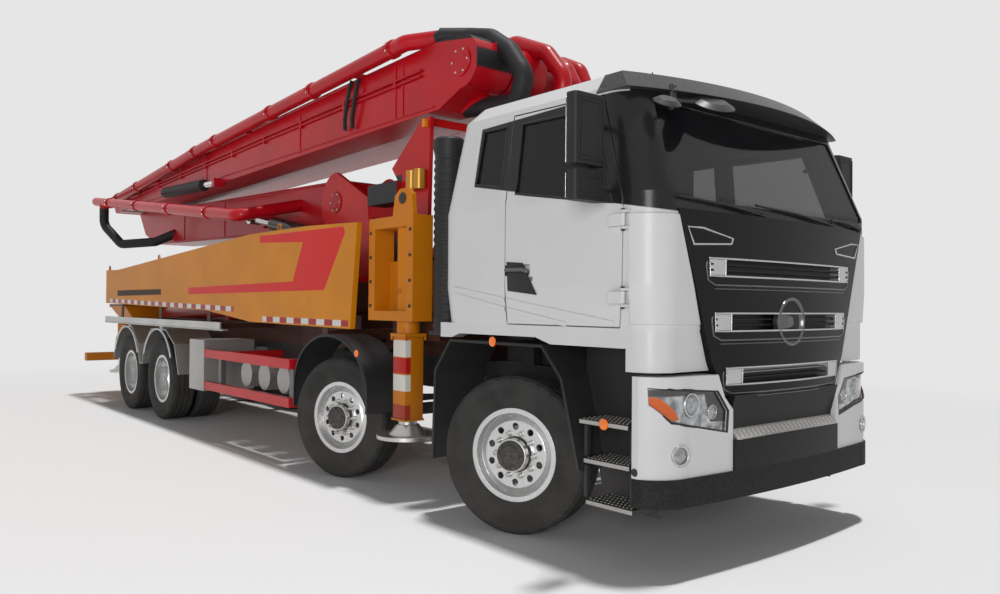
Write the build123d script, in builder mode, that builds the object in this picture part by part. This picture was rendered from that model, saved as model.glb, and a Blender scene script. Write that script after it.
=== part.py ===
# Concrete pump truck: a cab-over four-axle chassis with a five-section folding boom, stowed for the road.
# Millimetres. +X is forward, +Y is the truck's left side, +Z is up, and the wheels stand on Z = 0.
# Distances along the truck are measured from the first axle; the planes below carry them to the model's
# frame, whose origin is on the ground at the middle of the whole truck.
import os
from math import cos, radians, sin

from build123d import *

os.makedirs("parts", exist_ok=True)

# Overall
front_reach = 1500.0  # first axle to the bumper's nose
tail_reach = 10900.0  # first axle to the end of the stowed boom
half_width = 1250.0
axle_1_x = (tail_reach - front_reach) / 2

# Clearances
seat_gap = 0.3  # parts of different shape that rest on each other
run_gap = 0.3  # shafts in their bores
door_gap = 8.0
lane_gap = 30.0  # between boom sections that pass each other

# Wheels
axle_x = (0.0, -2300.0, -6900.0, -8250.0)
tyre_radius = 530.0
tyre_width = 300.0
rim_radius = 295.0
rim_width = 236.0
dual_pitch = 345.0
wheel_track_half = 1050.0  # truck's middle to the outer tyre's middle
steer_angles = (21.6, 17.1)  # both front axles stand steered to the left
kingpin_half = 830.0
hub_bore = 60.0
spindle_radius = hub_bore - run_gap

# Chassis
rail_half = 430.0
rail_bottom = 790.0
rail_top = 1070.0
rail_flange = 80.0
rail_wall = 9.0
frame_front = 1180.0
frame_rear = -8900.0
cross_members = (1050.0, -1150.0, -3000.0, -4300.0, -5700.0, -7575.0, -8750.0)
subframe_top = 1300.0

# Cab
cab_wall = 45.0
glass_depth = 12.0
glass_thick = 6.0
# height, rear end, front end, half width, corner radius
cab_sections = (
    (1400.0, -580.0, 1390.0, 1225.0, 170.0),
    (1650.0, -610.0, 1400.0, half_width, 190.0),
    (2180.0, -620.0, 1400.0, half_width, 200.0),
    (2830.0, -500.0, 1150.0, 1170.0, 190.0),
    (2930.0, -400.0, 1020.0, 1080.0, 150.0),
)
door_outline = ((150, 1412), (1130, 1412), (1165, 1650), (1170, 2150), (950, 2780), (150, 2790))
door_window = ((235, 2260), (1095, 2125), (890, 2715), (235, 2725))
rear_window = ((-200, 2365), (85, 2320), (85, 2735), (-165, 2735))
screen_outline = ((-1090, 2150), (1090, 2150), (1000, 2745), (-1000, 2745))
door_hinge_x = 1190.0
door_hinge_y = half_width + 18.0
hinge_levels = (1580.0, 2020.0)

# Black front mask: height, nose and half width of each section, and how far its edges stand behind its nose
mask_sections = ((1012.0, 1492.0, 650.0), (1210.0, 1490.0, 755.0), (2085.0, 1475.0, 1050.0))
mask_sweep = 60.0
mask_gap = 8.0
# lower edge, upper edge, half width of each grille opening
grilles = ((1712.0, 1815.0, 800.0), (1390.0, 1495.0, 745.0), (1073.0, 1172.0, 640.0))
grille_back = 1415.0
slat_front = 1445.0

# White bumper and its lamps, from the truck's middle outward and up
bumper_low = 570.0
bumper_high = 1140.0
bumper_half = 600.0  # half width of the opening for the black middle
bumper_depth = 120.0
lamp_outline = ((650, 800), (1105, 885), (1208, 985), (1212, 1080), (735, 1045), (640, 925))
fog_lamp = (1050.0, 700.0)
fog_radius = 55.0
step_top = 750.0  # the black lower bumper's top at the middle

# Boom lanes across the truck: right face, left face
lane_1 = (-310.0, 310.0)
lane_2 = (-720.0, -340.0)
lane_3 = (-310.0, 50.0)
lane_4 = (80.0, 390.0)
lane_5 = (420.0, 690.0)
pin_radius = 60.0
pipe_radius = 70.0
hose_radius = 82.0
outlet_radius = 67.0
outlet_length = 170.0

# Turret
turret_x = -3400.0
turret_radius = 520.0
pedestal_top = 1760.0
lift_pin = (-3750.0, 2640.0)
lift_foot = (-4060.0, 2300.0)  # lift cylinders' lower pin
lift_head = (-5650.0, 2600.0)  # lift cylinders' rod pin on the first section
boss_reach = 360.0  # truck's middle to the face of the round bosses that the rod pins turn against
cylinder_in = 375.0
cylinder_out = 565.0
cheek_radius = 330.0
cheek_thick = 45.0

# Boom pins: place along the truck, height
pin_12 = (-10700.0, 3220.0)
pin_23 = (-1050.0, 3520.0)
pin_34 = (-10050.0, 3300.0)
pin_45 = (-1250.0, 3520.0)
tip_5 = (-9300.0, 3300.0)


def side(y):
    """Plane beside the truck at y: first axis forward, second up, facing the truck's right."""
    return Plane(origin=(axle_1_x, y, 0), x_dir=(1, 0, 0), z_dir=(0, -1, 0))


def plan(z):
    """Level plane at height z: first axis forward, second to the left."""
    return Plane(origin=(axle_1_x, 0, z), x_dir=(1, 0, 0), z_dir=(0, 0, 1))


def front(x):
    """Plane across the truck at x: first axis to the left, second up."""
    return Plane(origin=(axle_1_x + x, 0, 0), x_dir=(0, 1, 0), z_dir=(1, 0, 0))


def at(x, y, z):
    return (axle_1_x + x, y, z)


def tube(points, radius, bend):
    """Round bar or pipe along straight runs with rounded corners."""
    with BuildPart() as made:
        with BuildLine() as path:
            if len(points) > 2:
                FilletPolyline(*points, radius=bend)
            else:
                Line(*points)
        with BuildSketch(Plane(origin=path.line @ 0, z_dir=path.line % 0)):
            Circle(radius)
        sweep(path=path.line)
    return made.part


def slab(outline, y_from, y_to):
    """Plate or prism with a side outline, between two distances across the truck."""
    with BuildPart() as made:
        with BuildSketch(side(y_to)):
            Polygon(*outline, align=None)
        extrude(amount=y_to - y_from)
    return made.part


def block(x_from, x_to, y_from, y_to, z_from, z_to):
    return slab(((x_from, z_from), (x_to, z_from), (x_to, z_to), (x_from, z_to)), y_from, y_to)


def write(part, name):
    part.label = name
    export_step(part, f"parts/{name}.step")


# ---- Chassis frame: two channel rails with cross-members ----
with BuildPart() as chassis_frame:
    with BuildSketch(front(frame_rear)) as rail_section:
        for hand in (-1, 1):
            with Locations((hand * (rail_half - rail_flange / 2), (rail_bottom + rail_top) / 2)):
                Rectangle(rail_flange, rail_top - rail_bottom)
            with Locations((hand * (rail_half - rail_wall - rail_flange / 2), (rail_bottom + rail_top) / 2)):
                Rectangle(rail_flange, rail_top - rail_bottom - 2 * rail_wall, mode=Mode.SUBTRACT)
    extrude(amount=frame_front - frame_rear)
    for x in cross_members:
        add(block(x - 50, x + 50, -rail_half + rail_wall, rail_half - rail_wall, 850, 1010))
    for x in (-520, 900):
        for hand in (-1, 1):
            y_in, y_out = sorted((hand * (rail_half - rail_flange), hand * rail_half))
            add(block(x - 60, x + 60, y_in, y_out, rail_top, cab_sections[0][0] - seat_gap))

# ---- Air tanks slung beside the rails; they share the frame's node ----
with BuildPart() as air_tanks:
    for x in (-3400, -3850, -4300):
        with BuildSketch(side(-520)):
            with Locations((x, 770)):
                Circle(140)
        extrude(amount=600)
        add(block(x - 60, x + 60, -640, -rail_half - seat_gap, 860, 900))
    mirror(about=Plane.XZ)
write(Compound(children=[chassis_frame.part, air_tanks.part]), "chassis_frame")

# ---- Engine: one plain block on four feet between the rails, under the cab ----
engine_half = 320.0
with BuildPart() as engine_block:
    add(block(-900, 650, -engine_half, engine_half, 640, 1330))
    for x in (-700, 450):
        add(block(x - 60, x + 60, -rail_half + rail_wall + seat_gap, rail_half - rail_wall - seat_gap, 880, 960))
    fillet(engine_block.edges().filter_by(Axis.X).group_by(Axis.Z)[-1], 60)
write(engine_block.part, "engine_block")

# ---- Axles: two steered beams with kingpin eyes, two driven housings, and their leaf springs ----
eye_radius = 55.0
eye_height = 110.0
kingpin_radius = 25.0
spring_half = 390.0
spring_gap_top = rail_bottom - seat_gap
with BuildPart() as axles:
    for x in axle_x[:2]:
        add(block(x - 50, x + 50, -kingpin_half + 20, kingpin_half - 20, tyre_radius - 50, tyre_radius + 50))
        for hand in (-1, 1):
            with BuildSketch(plan(tyre_radius - eye_height / 2)):
                with Locations((x, hand * kingpin_half)):
                    Circle(eye_radius)
            extrude(amount=eye_height)
            with BuildSketch(plan(tyre_radius - eye_height)):
                with Locations((x, hand * kingpin_half)):
                    Circle(kingpin_radius + run_gap)
            extrude(amount=2 * eye_height, mode=Mode.SUBTRACT)
    for x in axle_x[2:]:
        with BuildSketch(side(0)):
            with Locations((x, tyre_radius)):
                Circle(100)
        extrude(amount=540, both=True)
        with BuildSketch(side(0)):
            with Locations((x, tyre_radius)):
                Circle(spindle_radius)
        extrude(amount=wheel_track_half - 80, both=True)
        with Locations(at(x, 0, tyre_radius)):
            Sphere(210)
        add(block(x, x + 330, -90, 90, tyre_radius - 90, tyre_radius + 90))
    for x in axle_x:
        for hand in (-1, 1):
            y_in, y_out = sorted((hand * (spring_half - 40), hand * (spring_half + 40)))
            leaf = ((x - 640, 700), (x, 600), (x + 640, 700), (x + 640, 740), (x, 680), (x - 640, 740))
            add(slab(leaf, y_in, y_out))
            add(block(x - 70, x + 70, y_in, y_out, tyre_radius - 40, 640))
            for end in (-600, 600):
                add(block(x + end - 30, x + end + 30, y_in, y_out, 715, spring_gap_top))
write(axles.part, "axles")

# ---- Wheels ----

def wheel_plane(number, hand):
    """Plane through a wheel's middle: first axis outward along the axle, second up."""
    steer = radians(steer_angles[number]) if number < 2 else 0.0
    outward = (hand * -sin(steer), hand * cos(steer), 0)
    pivot = kingpin_half if number < 2 else 0.0
    reach = wheel_track_half - pivot
    centre = at(axle_x[number] + reach * outward[0], hand * pivot + reach * outward[1], tyre_radius)
    return Plane(origin=centre, x_dir=outward, z_dir=(outward[1], -outward[0], 0))


def wheel_axis(plane):
    return Axis(plane.origin, plane.x_dir)


def tyre(plane, shifts):
    half = tyre_width / 2
    bead = rim_radius + seat_gap
    heel = rim_radius + 20
    with BuildPart() as made:
        for shift in shifts:
            with BuildSketch(plane):
                with BuildLine():
                    Polyline((shift - 112, heel), (shift - 112, bead), (shift + 112, bead), (shift + 112, heel))
                    ThreePointArc((shift + 112, heel), (shift + half, 420), (shift + half - 22, tyre_radius - 14))
                    Line((shift + half - 22, tyre_radius - 14), (shift + half - 40, tyre_radius))
                    Line((shift + half - 40, tyre_radius), (shift - half + 40, tyre_radius))
                    Line((shift - half + 40, tyre_radius), (shift - half + 22, tyre_radius - 14))
                    ThreePointArc((shift - half + 22, tyre_radius - 14), (shift - half, 420), (shift - 112, heel))
                make_face()
        revolve(axis=wheel_axis(plane))
    return made.part


def rim_half_section(shift):
    """Barrel with its two flanges."""
    half = rim_width / 2
    return (
        (shift - half, rim_radius - 16),
        (shift + half, rim_radius - 16),
        (shift + half, rim_radius + 18),
        (shift + half - 5, rim_radius + 18),
        (shift + half - 5, rim_radius),
        (shift - half + 5, rim_radius),
        (shift - half + 5, rim_radius + 18),
        (shift - half, rim_radius + 18),
    )


def single_rim(plane):
    """Steel disc wheel, dished outward, on its hub."""
    with BuildPart() as made:
        with BuildSketch(plane):
            Polygon(*rim_half_section(0), align=None)
            Polygon((20, 283), (40, 283), (86, 225), (86, hub_bore), (66, hub_bore), (66, 218), align=None)
            Polygon((-30, 130), (150, 110), (160, 60), (160, 0), (135, 0), (135, hub_bore), (-30, hub_bore),
                    align=None)
        revolve(axis=wheel_axis(plane))
        with BuildSketch(Plane(origin=plane.origin, x_dir=(0, 0, 1), z_dir=plane.x_dir)):
            with PolarLocations(188, 10):
                Circle(23)
        extrude(amount=120, mode=Mode.SUBTRACT)
    return made.part


def dual_rim(plane):
    """Two barrels bolted disc to disc, dished inward, on one hub."""
    with BuildPart() as made:
        with BuildSketch(plane):
            Polygon(*rim_half_section(0), align=None)
            Polygon(*rim_half_section(-dual_pitch), align=None)
            middle = -dual_pitch / 2
            Polygon((-40, 283), (-60, 283), (middle, 225), (middle, hub_bore), (middle + 20, hub_bore),
                    (middle + 20, 218), align=None)
            Polygon((-dual_pitch + 40, 283), (-dual_pitch + 60, 283), (middle, 225), (middle, hub_bore),
                    (middle - 20, hub_bore), (middle - 20, 218), align=None)
            Polygon((-dual_pitch + 60, 130), (-20, 120), (0, 60), (0, 0), (-22, 0), (-22, hub_bore),
                    (-dual_pitch + 60, hub_bore), align=None)
        revolve(axis=wheel_axis(plane))
        with BuildSketch(Plane(origin=plane.origin, x_dir=(0, 0, 1), z_dir=plane.x_dir)):
            with PolarLocations(188, 10):
                Circle(23)
        extrude(amount=-dual_pitch, mode=Mode.SUBTRACT)
    return made.part


hands = (("right", -1), ("left", 1))
for number in range(4):
    for hand_name, hand in hands:
        plane = wheel_plane(number, hand)
        dual = number > 1
        write(tyre(plane, (0, -dual_pitch) if dual else (0,)), f"tyre_{number + 1}_{hand_name}")
        write(dual_rim(plane) if dual else single_rim(plane), f"rim_{number + 1}_{hand_name}")


# ---- Knuckles: two ears round the beam's eye, a kingpin through it, and the wheel's spindle ----
def knuckle(plane, number, hand):
    pin = (axle_x[number], hand * kingpin_half)
    reach = wheel_track_half - kingpin_half
    with BuildPart() as made:
        for level in (tyre_radius + eye_height / 2 + run_gap, tyre_radius - eye_height / 2 - run_gap - 35):
            with BuildSketch(plan(level)):
                with Locations(pin):
                    Circle(eye_radius)
            extrude(amount=35)
            with BuildSketch(Plane(origin=plane.origin - plane.x_dir * (reach - 45), x_dir=plane.y_dir,
                                   z_dir=plane.x_dir)):
                with Locations((level + 17.5 - tyre_radius, 0)):
                    Rectangle(35, 2 * eye_radius)
            extrude(amount=60)
        with BuildSketch(plan(tyre_radius - eye_height)):
            with Locations(pin):
                Circle(kingpin_radius)
        extrude(amount=2 * eye_height)
        with BuildSketch(Plane(origin=plane.origin - plane.x_dir * (reach - 70), x_dir=plane.y_dir,
                               z_dir=plane.x_dir)):
            Rectangle(eye_height + 72, 2 * eye_radius)
        extrude(amount=35)
        with BuildSketch(Plane(origin=plane.origin - plane.x_dir * (reach - 100), x_dir=plane.y_dir,
                               z_dir=plane.x_dir)):
            Circle(spindle_radius)
        extrude(amount=reach + 20)
    return made.part


for number in range(2):
    for hand_name, hand in hands:
        write(knuckle(wheel_plane(number, hand), number, hand), f"knuckle_{number + 1}_{hand_name}")


# ---- Cab: hollow shell with doors, glass and inside pieces ----
def cab_form(inset):
    """The cab's outer form, drawn in by the same distance all round."""
    with BuildPart() as made:
        last = len(cab_sections) - 1
        for index, (height, rear, ahead, half, corner) in enumerate(cab_sections):
            level = height + inset * ((index == 0) - (index == last))
            with BuildSketch(plan(level)):
                with Locations(((rear + ahead) / 2, 0)):
                    RectangleRounded(ahead - rear - 2 * inset, 2 * (half - inset), corner - inset)
        loft(ruled=True)
    return made.part


def side_cut(outline, grow, hand):
    """Prism through one side wall with a window's or a door's outline."""
    with BuildPart() as made:
        with BuildSketch(side(hand * 900)):
            Polygon(*outline, align=None)
            if grow:
                offset(amount=grow, kind=Kind.INTERSECTION, mode=Mode.REPLACE)
        extrude(amount=-hand * 500)
    return made.part


def floor_strip(half):
    """Block over the cab floor between the doorways."""
    return block(-200, 1400, -half, half, 1300, floor_top)


def screen_cut(grow):
    with BuildPart() as made:
        with BuildSketch(front(850)):
            Polygon(*screen_outline, align=None)
            if grow:
                offset(amount=grow, kind=Kind.INTERSECTION, mode=Mode.REPLACE)
        extrude(amount=700)
    return made.part


cab_outside = cab_form(0)
cab_hollow = cab_form(cab_wall)
glass_layer = cab_form(glass_depth) - cab_form(glass_depth + glass_thick)
cab_walls = cab_outside - cab_hollow
floor_top = cab_sections[0][0] + cab_wall
# half width of the floor that stays in the shell at the doorways, and where the doors' own floor edge starts
sill_half = 1170.0
door_floor_half = sill_half + 8
skirt = ((-600, 1300), (-470, 1300), (-380, 1330), (420, 1330), (560, 1290), (1200, 1290), (1200, 1405),
         (-600, 1405))


def mask_half(z):
    """Half width of the front mask at height z."""
    sections = mask_sections[:2] if z < mask_sections[1][0] else mask_sections[1:]
    (low, _, narrow), (high, _, wide) = sections
    return narrow + (z - low) / (high - low) * (wide - narrow)


# White skirts under the cab's front corners, and panels that stand proud of the corners beside the mask
corner_low = 1160.0
corner_back = 1178.0
panel_back = 1225.0
panel_proud = 14.0
panel_low = 1430.0
panel_high = 2050.0
with BuildPart() as corner_skirts:
    low_z, low_rear, low_ahead, low_half, low_corner = cab_sections[0]
    with BuildSketch(plan(corner_low)):
        with Locations(((low_rear + low_ahead) / 2, 0)):
            RectangleRounded(low_ahead - low_rear, 2 * low_half, low_corner)
            RectangleRounded(low_ahead - low_rear - 2 * cab_wall, 2 * (low_half - cab_wall),
                             low_corner - cab_wall, mode=Mode.SUBTRACT)
    extrude(amount=low_z - corner_low)
    add(block(low_rear - 10, corner_back, -half_width, half_width, corner_low, low_z), mode=Mode.SUBTRACT)
    with BuildSketch(front(corner_back)):
        mouth = [(mask_half(z) + mask_gap, z) for z in (corner_low - 10, mask_sections[1][0], low_z + 10)]
        Polygon(*mouth, *((-y, z) for y, z in reversed(mouth)), align=None)
    extrude(amount=low_ahead - corner_back, mode=Mode.SUBTRACT)

with BuildPart() as corner_panels:
    add(cab_form(-panel_proud) - cab_outside)
    with BuildPart(mode=Mode.INTERSECT):
        for hand in (-1, 1):
            with BuildSketch(front(panel_back)):
                Polygon((hand * (mask_half(panel_low) + mask_gap), panel_low),
                        (hand * (mask_half(panel_high) + mask_gap), panel_high),
                        (hand * (half_width + 50), panel_high), (hand * (half_width + 50), panel_low), align=None)
            extrude(amount=300)

with BuildPart() as cab_shell:
    add(cab_walls)
    for hand in (-1, 1):
        add(side_cut(door_outline, door_gap, hand) - floor_strip(sill_half), mode=Mode.SUBTRACT)
        for z in hinge_levels:
            y_in, y_out = sorted((hand * (half_width - 25), hand * (door_hinge_y + 15)))
            for low in (z - 54, z + 38):
                add(block(door_hinge_x, door_hinge_x + 40, y_in, y_out, low, low + 16))
                with BuildSketch(plan(low)):
                    with Locations((door_hinge_x, hand * door_hinge_y)):
                        Circle(15)
                extrude(amount=16)
            with BuildSketch(plan(z - 54)):
                with Locations((door_hinge_x, hand * door_hinge_y)):
                    Circle(10)
            extrude(amount=108)
        add(side_cut(rear_window, 0, hand), mode=Mode.SUBTRACT)
        add(slab(skirt, *sorted((hand * 1120, hand * 1225))))
    add(corner_skirts.part)
    add(corner_panels.part)
    add(screen_cut(0), mode=Mode.SUBTRACT)
write(cab_shell.part, "cab_shell")

with BuildPart() as cab_glass:
    add(glass_layer & screen_cut(-seat_gap))
    for hand in (-1, 1):
        add(glass_layer & side_cut(rear_window, -seat_gap, hand))
write(cab_glass.part, "cab_glass")

for hand_name, hand in hands:
    with BuildPart() as door:
        add((cab_walls & side_cut(door_outline, 0, hand)) - floor_strip(door_floor_half))
        add(side_cut(door_window, 0, hand), mode=Mode.SUBTRACT)
        with BuildSketch(side(hand * (half_width + 5))):
            with Locations((270, 1760)):
                Rectangle(240, 70)
        extrude(amount=hand * 30, mode=Mode.SUBTRACT)
        for z in hinge_levels:
            y_in, y_out = sorted((hand * (half_width - 25), hand * (door_hinge_y + 15)))
            add(block(1090, 1140, y_in, y_out, z - 35, z + 35))
            y_in, y_out = sorted((hand * (door_hinge_y - 15), hand * (door_hinge_y + 15)))
            add(block(1100, door_hinge_x, y_in, y_out, z - 35, z + 35))
            with BuildSketch(plan(z - 35)):
                with Locations((door_hinge_x, hand * door_hinge_y)):
                    Circle(15)
            extrude(amount=70)
            with BuildSketch(plan(z - 43)):
                with Locations((door_hinge_x, hand * door_hinge_y)):
                    Circle(10 + run_gap)
            extrude(amount=86, mode=Mode.SUBTRACT)
    write(door.part, f"door_{hand_name}")
    write(glass_layer & side_cut(door_window, -seat_gap, hand), f"door_glass_{hand_name}")

with BuildPart() as cab_interior:
    for hand in (-1, 1):
        seat_y = hand * 560
        add(block(-60, 420, seat_y - 160, seat_y + 160, floor_top + seat_gap, 1640))
        add(block(-120, 470, seat_y - 250, seat_y + 250, 1640, 1770))
        add(slab(((-140, 1700), (20, 1700), (-60, 2330), (-190, 2330)), seat_y - 230, seat_y + 230))
        add(slab(((-190, 2330), (-80, 2330), (-100, 2500), (-190, 2500)), seat_y - 130, seat_y + 130))
    add(slab(((1000, 1700), (1250, 1700), (1290, 2090), (1000, 2060), (930, 1960)), -1120, 1120))
    add(block(1100, 1200, -500, 500, floor_top + seat_gap, 1750))
    add(tube((at(1000, 560, 1900), at(760, 560, 2060)), 35, 0))
    with BuildSketch(Plane(origin=at(760, 560, 2060), x_dir=(0, 1, 0), z_dir=(-0.55, 0, 0.83))):
        Circle(225)
        Circle(190, mode=Mode.SUBTRACT)
        Rectangle(400, 40)
    extrude(amount=30)
write(cab_interior.part, "cab_interior")

# ---- Front mask with its grille, and the lower bumper ----
cab_clear = cab_form(-seat_gap)
with BuildPart() as front_mask:
    for z, nose, wide in mask_sections:
        with BuildSketch(plan(z)):
            with BuildLine():
                ThreePointArc((nose - mask_sweep, -wide), (nose, 0), (nose - mask_sweep, wide))
                Polyline((nose - mask_sweep, wide), (1300, wide), (1300, -wide), (nose - mask_sweep, -wide))
            make_face()
    loft(ruled=True)
    add(cab_clear, mode=Mode.SUBTRACT)
    for low, high, wide in grilles:
        with BuildSketch(front(grille_back)):
            with Locations((0, (low + high) / 2)):
                RectangleRounded(2 * wide, high - low, 25)
        extrude(amount=front_reach - grille_back, mode=Mode.SUBTRACT)
        for third in (1, 2):
            z = low + (high - low) * third / 3
            add(block(grille_back - 10, slat_front, -wide, wide, z - 6, z + 6))


def nose_ring(z_from, z_to, nose, depth):
    """Bumper band round the front corners."""
    with BuildPart() as made:
        with BuildSketch(plan(z_from)):
            with BuildLine():
                Polyline((1240, -1240), (nose - 200, -1240))
                ThreePointArc((nose - 200, -1240), (nose - 85, -1130), (nose - 50, -980))
                ThreePointArc((nose - 50, -980), (nose, 0), (nose - 50, 980))
                ThreePointArc((nose - 50, 980), (nose - 85, 1130), (nose - 200, 1240))
                Polyline((nose - 200, 1240), (1240, 1240), (1240, 1240 - depth), (nose - 230, 1240 - depth),
                         (nose - 50 - depth, 980), (nose - 50 - depth, -980), (nose - 230, depth - 1240),
                         (1240, depth - 1240), (1240, -1240))
            make_face()
        extrude(amount=z_to - z_from)
    return made.part


def lamp_cut(shrink):
    """Prisms through the bumper for both sides' headlamps and fog lamps."""
    with BuildPart() as made:
        for hand in (-1, 1):
            with BuildSketch(front(front_reach + 100)):
                Polygon(*((hand * y, z) for y, z in lamp_outline), align=None)
                if shrink:
                    offset(amount=-shrink, kind=Kind.INTERSECTION, mode=Mode.REPLACE)
                with Locations((hand * fog_lamp[0], fog_lamp[1])):
                    Circle(fog_radius - shrink)
            extrude(amount=-600)
    return made.part


mask_low = mask_sections[0][0]
with BuildPart() as bumper:
    add(nose_ring(bumper_low, bumper_high, front_reach - 15, bumper_depth))
    with BuildSketch(front(1100)):
        mouth = [(bumper_half, bumper_low - 10), (bumper_half, 930), (mask_half(mask_low) + 25, mask_low - 7),
                 (mask_half(bumper_high) + 20, bumper_high + 10)]
        Polygon(*mouth, *((-y, z) for y, z in reversed(mouth)), align=None)
    extrude(amount=500, mode=Mode.SUBTRACT)
    add(lamp_cut(0), mode=Mode.SUBTRACT)
write(bumper.part, "bumper")

middle_half = bumper_half - seat_gap
with BuildPart() as lower_bumper:
    add(nose_ring(410, bumper_low - seat_gap, front_reach, 140))
    add(nose_ring(bumper_low - 10, step_top, front_reach, 140)
        & block(1200, 1600, -middle_half, middle_half, bumper_low - 10, step_top))
    add(slab(((1330, bumper_low - 10), (1430, bumper_low - 10), (1430, 820), (1480, mask_low - seat_gap),
              (1330, mask_low - seat_gap)), -middle_half, middle_half))
    add(block(frame_front + seat_gap, 1340, -rail_half, rail_half, 850, 1010))
write(Compound(children=[front_mask.part, lower_bumper.part]), "front_mask")

write(nose_ring(500, 1200, front_reach - 35, 90) & lamp_cut(seat_gap), "headlamps")

# ---- Sun visor with the kerb-view mirror on its arm ----
# centre and radius of each round mirror, and the place under the visor where its arm starts
round_mirrors = (((1345.0, -640.0, 2750.0), 140.0, (1225.0, -860.0)),
                 ((1345.0, -1070.0, 2690.0), 85.0, (1235.0, -900.0)))
with BuildPart() as sun_visor:
    for z, back, tip, wide in ((2800, 1150, 1400, 1190), (2925, 1040, 1250, 1110)):
        with BuildSketch(plan(z)):
            with BuildLine():
                ThreePointArc((back, -wide), (tip, 0), (back, wide))
                Polyline((back, wide), (900, wide), (900, -wide), (back, -wide))
            make_face()
    loft(ruled=True)
    add(cab_clear, mode=Mode.SUBTRACT)
    for (x, y, z), radius, (root_x, root_y) in round_mirrors:
        add(tube((at(root_x, root_y, 2840), at(root_x, root_y, z + 5), at(x, y, z + 5)), 13, 30))
        with BuildSketch(Plane(origin=at(x, y, z + 20), z_dir=(-0.5, 0.2, -0.84))):
            Circle(radius * 0.6)
        with BuildSketch(Plane(origin=at(x - 12, y + 5, z), z_dir=(-0.5, 0.2, -0.84))):
            Circle(radius)
        loft()
write(sun_visor.part, "sun_visor")

# ---- Door mirrors, on arms that end at the door's skin ----
belt_height, belt_half = cab_sections[2][0], cab_sections[2][3]
eaves_height, eaves_half = cab_sections[3][0], cab_sections[3][3]
for hand_name, hand in hands:
    with BuildPart() as mirror_case:
        y_in, y_out = sorted((hand * 1320, hand * 1560))
        add(block(1010, 1100, y_in, y_out, 2320, 2720))
        add(block(1020, 1100, y_in, y_out, 2120, 2290))
        fillet(mirror_case.edges().filter_by(Axis.Z), 30)
        add(block(1045, 1065, hand * 1440 - 15, hand * 1440 + 15, 2280, 2330))
        add(tube((at(860, hand * 1150, 2600), at(1040, hand * 1420, 2620)), 16, 0))
        add(tube((at(1080, hand * 1200, 2200), at(1060, hand * 1420, 2200)), 16, 0))
        with BuildSketch(front(600)):
            Polygon((0, belt_height - 100), (hand * (belt_half + seat_gap), belt_height - 100),
                    (hand * (belt_half + seat_gap), belt_height), (hand * (eaves_half + seat_gap), eaves_height),
                    (0, eaves_height), align=None)
        extrude(amount=900, mode=Mode.SUBTRACT)
    write(mirror_case.part, f"mirror_{hand_name}")

# ---- Black mudguards and entry steps ----
arch = ((-690, 400), (-660, 1050), (-480, 1275), (480, 1275), (660, 1080), (810, 540))
with BuildPart() as front_steps:
    with BuildSketch(side(-760)):
        with BuildLine():
            Polyline(*arch)
        trace(line_width=14)
    extrude(amount=460)
    for low, x_from, x_to in ((350, 860, 1225), (595, 840, 1200), (825, 800, 1190)):
        add(block(x_from, x_to, -1210, -960, low, low + 30))
    add(slab(((800, 300), (860, 300), (860, 1270), (640, 1270), (640, 1090)), -980, -960))
    add(block(800, 1230, -980, -960, 300, 1285))
    add(block(900, 960, -960, -rail_half - seat_gap, 900, 980))
    add(block(-700, -640, -760, -rail_half - seat_gap, 900, 980))
    mirror(about=Plane.XZ)
write(front_steps.part, "front_steps")

# ---- Pump subframe: long beams, outrigger boxes and the turret's pedestal ----
beam_low = 1450.0
beam_high = 1900.0
plate = 20.0
front_cells = (-1700.0, -1370.0, -1040.0)
rear_cells = (-9450.0, -9210.0, -8970.0)
with BuildPart() as pump_subframe:
    for hand in (-1, 1):
        y_in, y_out = sorted((hand * (rail_half - 90), hand * rail_half))
        add(block(frame_rear - 60, -1000, y_in, y_out, rail_top + seat_gap, subframe_top))
    for x in (-2400, -5200, -6900, -8600):
        add(block(x - 50, x + 50, -half_width + 50, half_width - 50, subframe_top - 60, subframe_top))
        for hand in (-1, 1):
            y_in, y_out = sorted((hand * (half_width - 62), hand * (half_width - 50)))
            add(block(x - 50, x + 50, y_in, y_out, subframe_top - 60, 1560))
    add(block(turret_x - 620, turret_x + 620, -600, 600, rail_top + seat_gap, 1420))
    with BuildSketch(plan(1420)):
        with Locations((turret_x, 0)):
            Circle(turret_radius)
    extrude(amount=pedestal_top - 1420)
    add(block(-1700, -1020, -930, 930, subframe_top - 60, beam_low))
    add(block(-1700, -1020, -930, 930, beam_high, beam_high + 30))
    for x in front_cells:
        add(block(x, x + plate, -930, 930, beam_low, beam_high))
    for z in (960, 1200):
        add(block(-9450, -8950, -880, 880, z, z + plate))
    for x in rear_cells:
        add(block(x, x + plate, -880, 880, 970, 1210))
    add(block(-8960, -8940, -rail_half, rail_half, 970, subframe_top))
    for hand in (-1, 1):
        add(block(-9200, -4600, *sorted((hand * 640, hand * (half_width - 52))), 1560, 1575))
        add(tube((at(-9560, hand * 190, 1330), at(-5300, hand * 190, 1480)), 125, 0))
        add(tube((at(-5300, hand * 190, 1480), at(-4500, hand * 190, 1508)), 70, 0))
    for x, z in ((-6900, 1420), (-8600, 1360), (-5200, 1480)):
        add(block(x - 50, x + 50, -300, 300, subframe_top, z))
    add(block(-5450, -5050, -380, 380, subframe_top, 1640))
write(pump_subframe.part, "pump_subframe")

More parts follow.
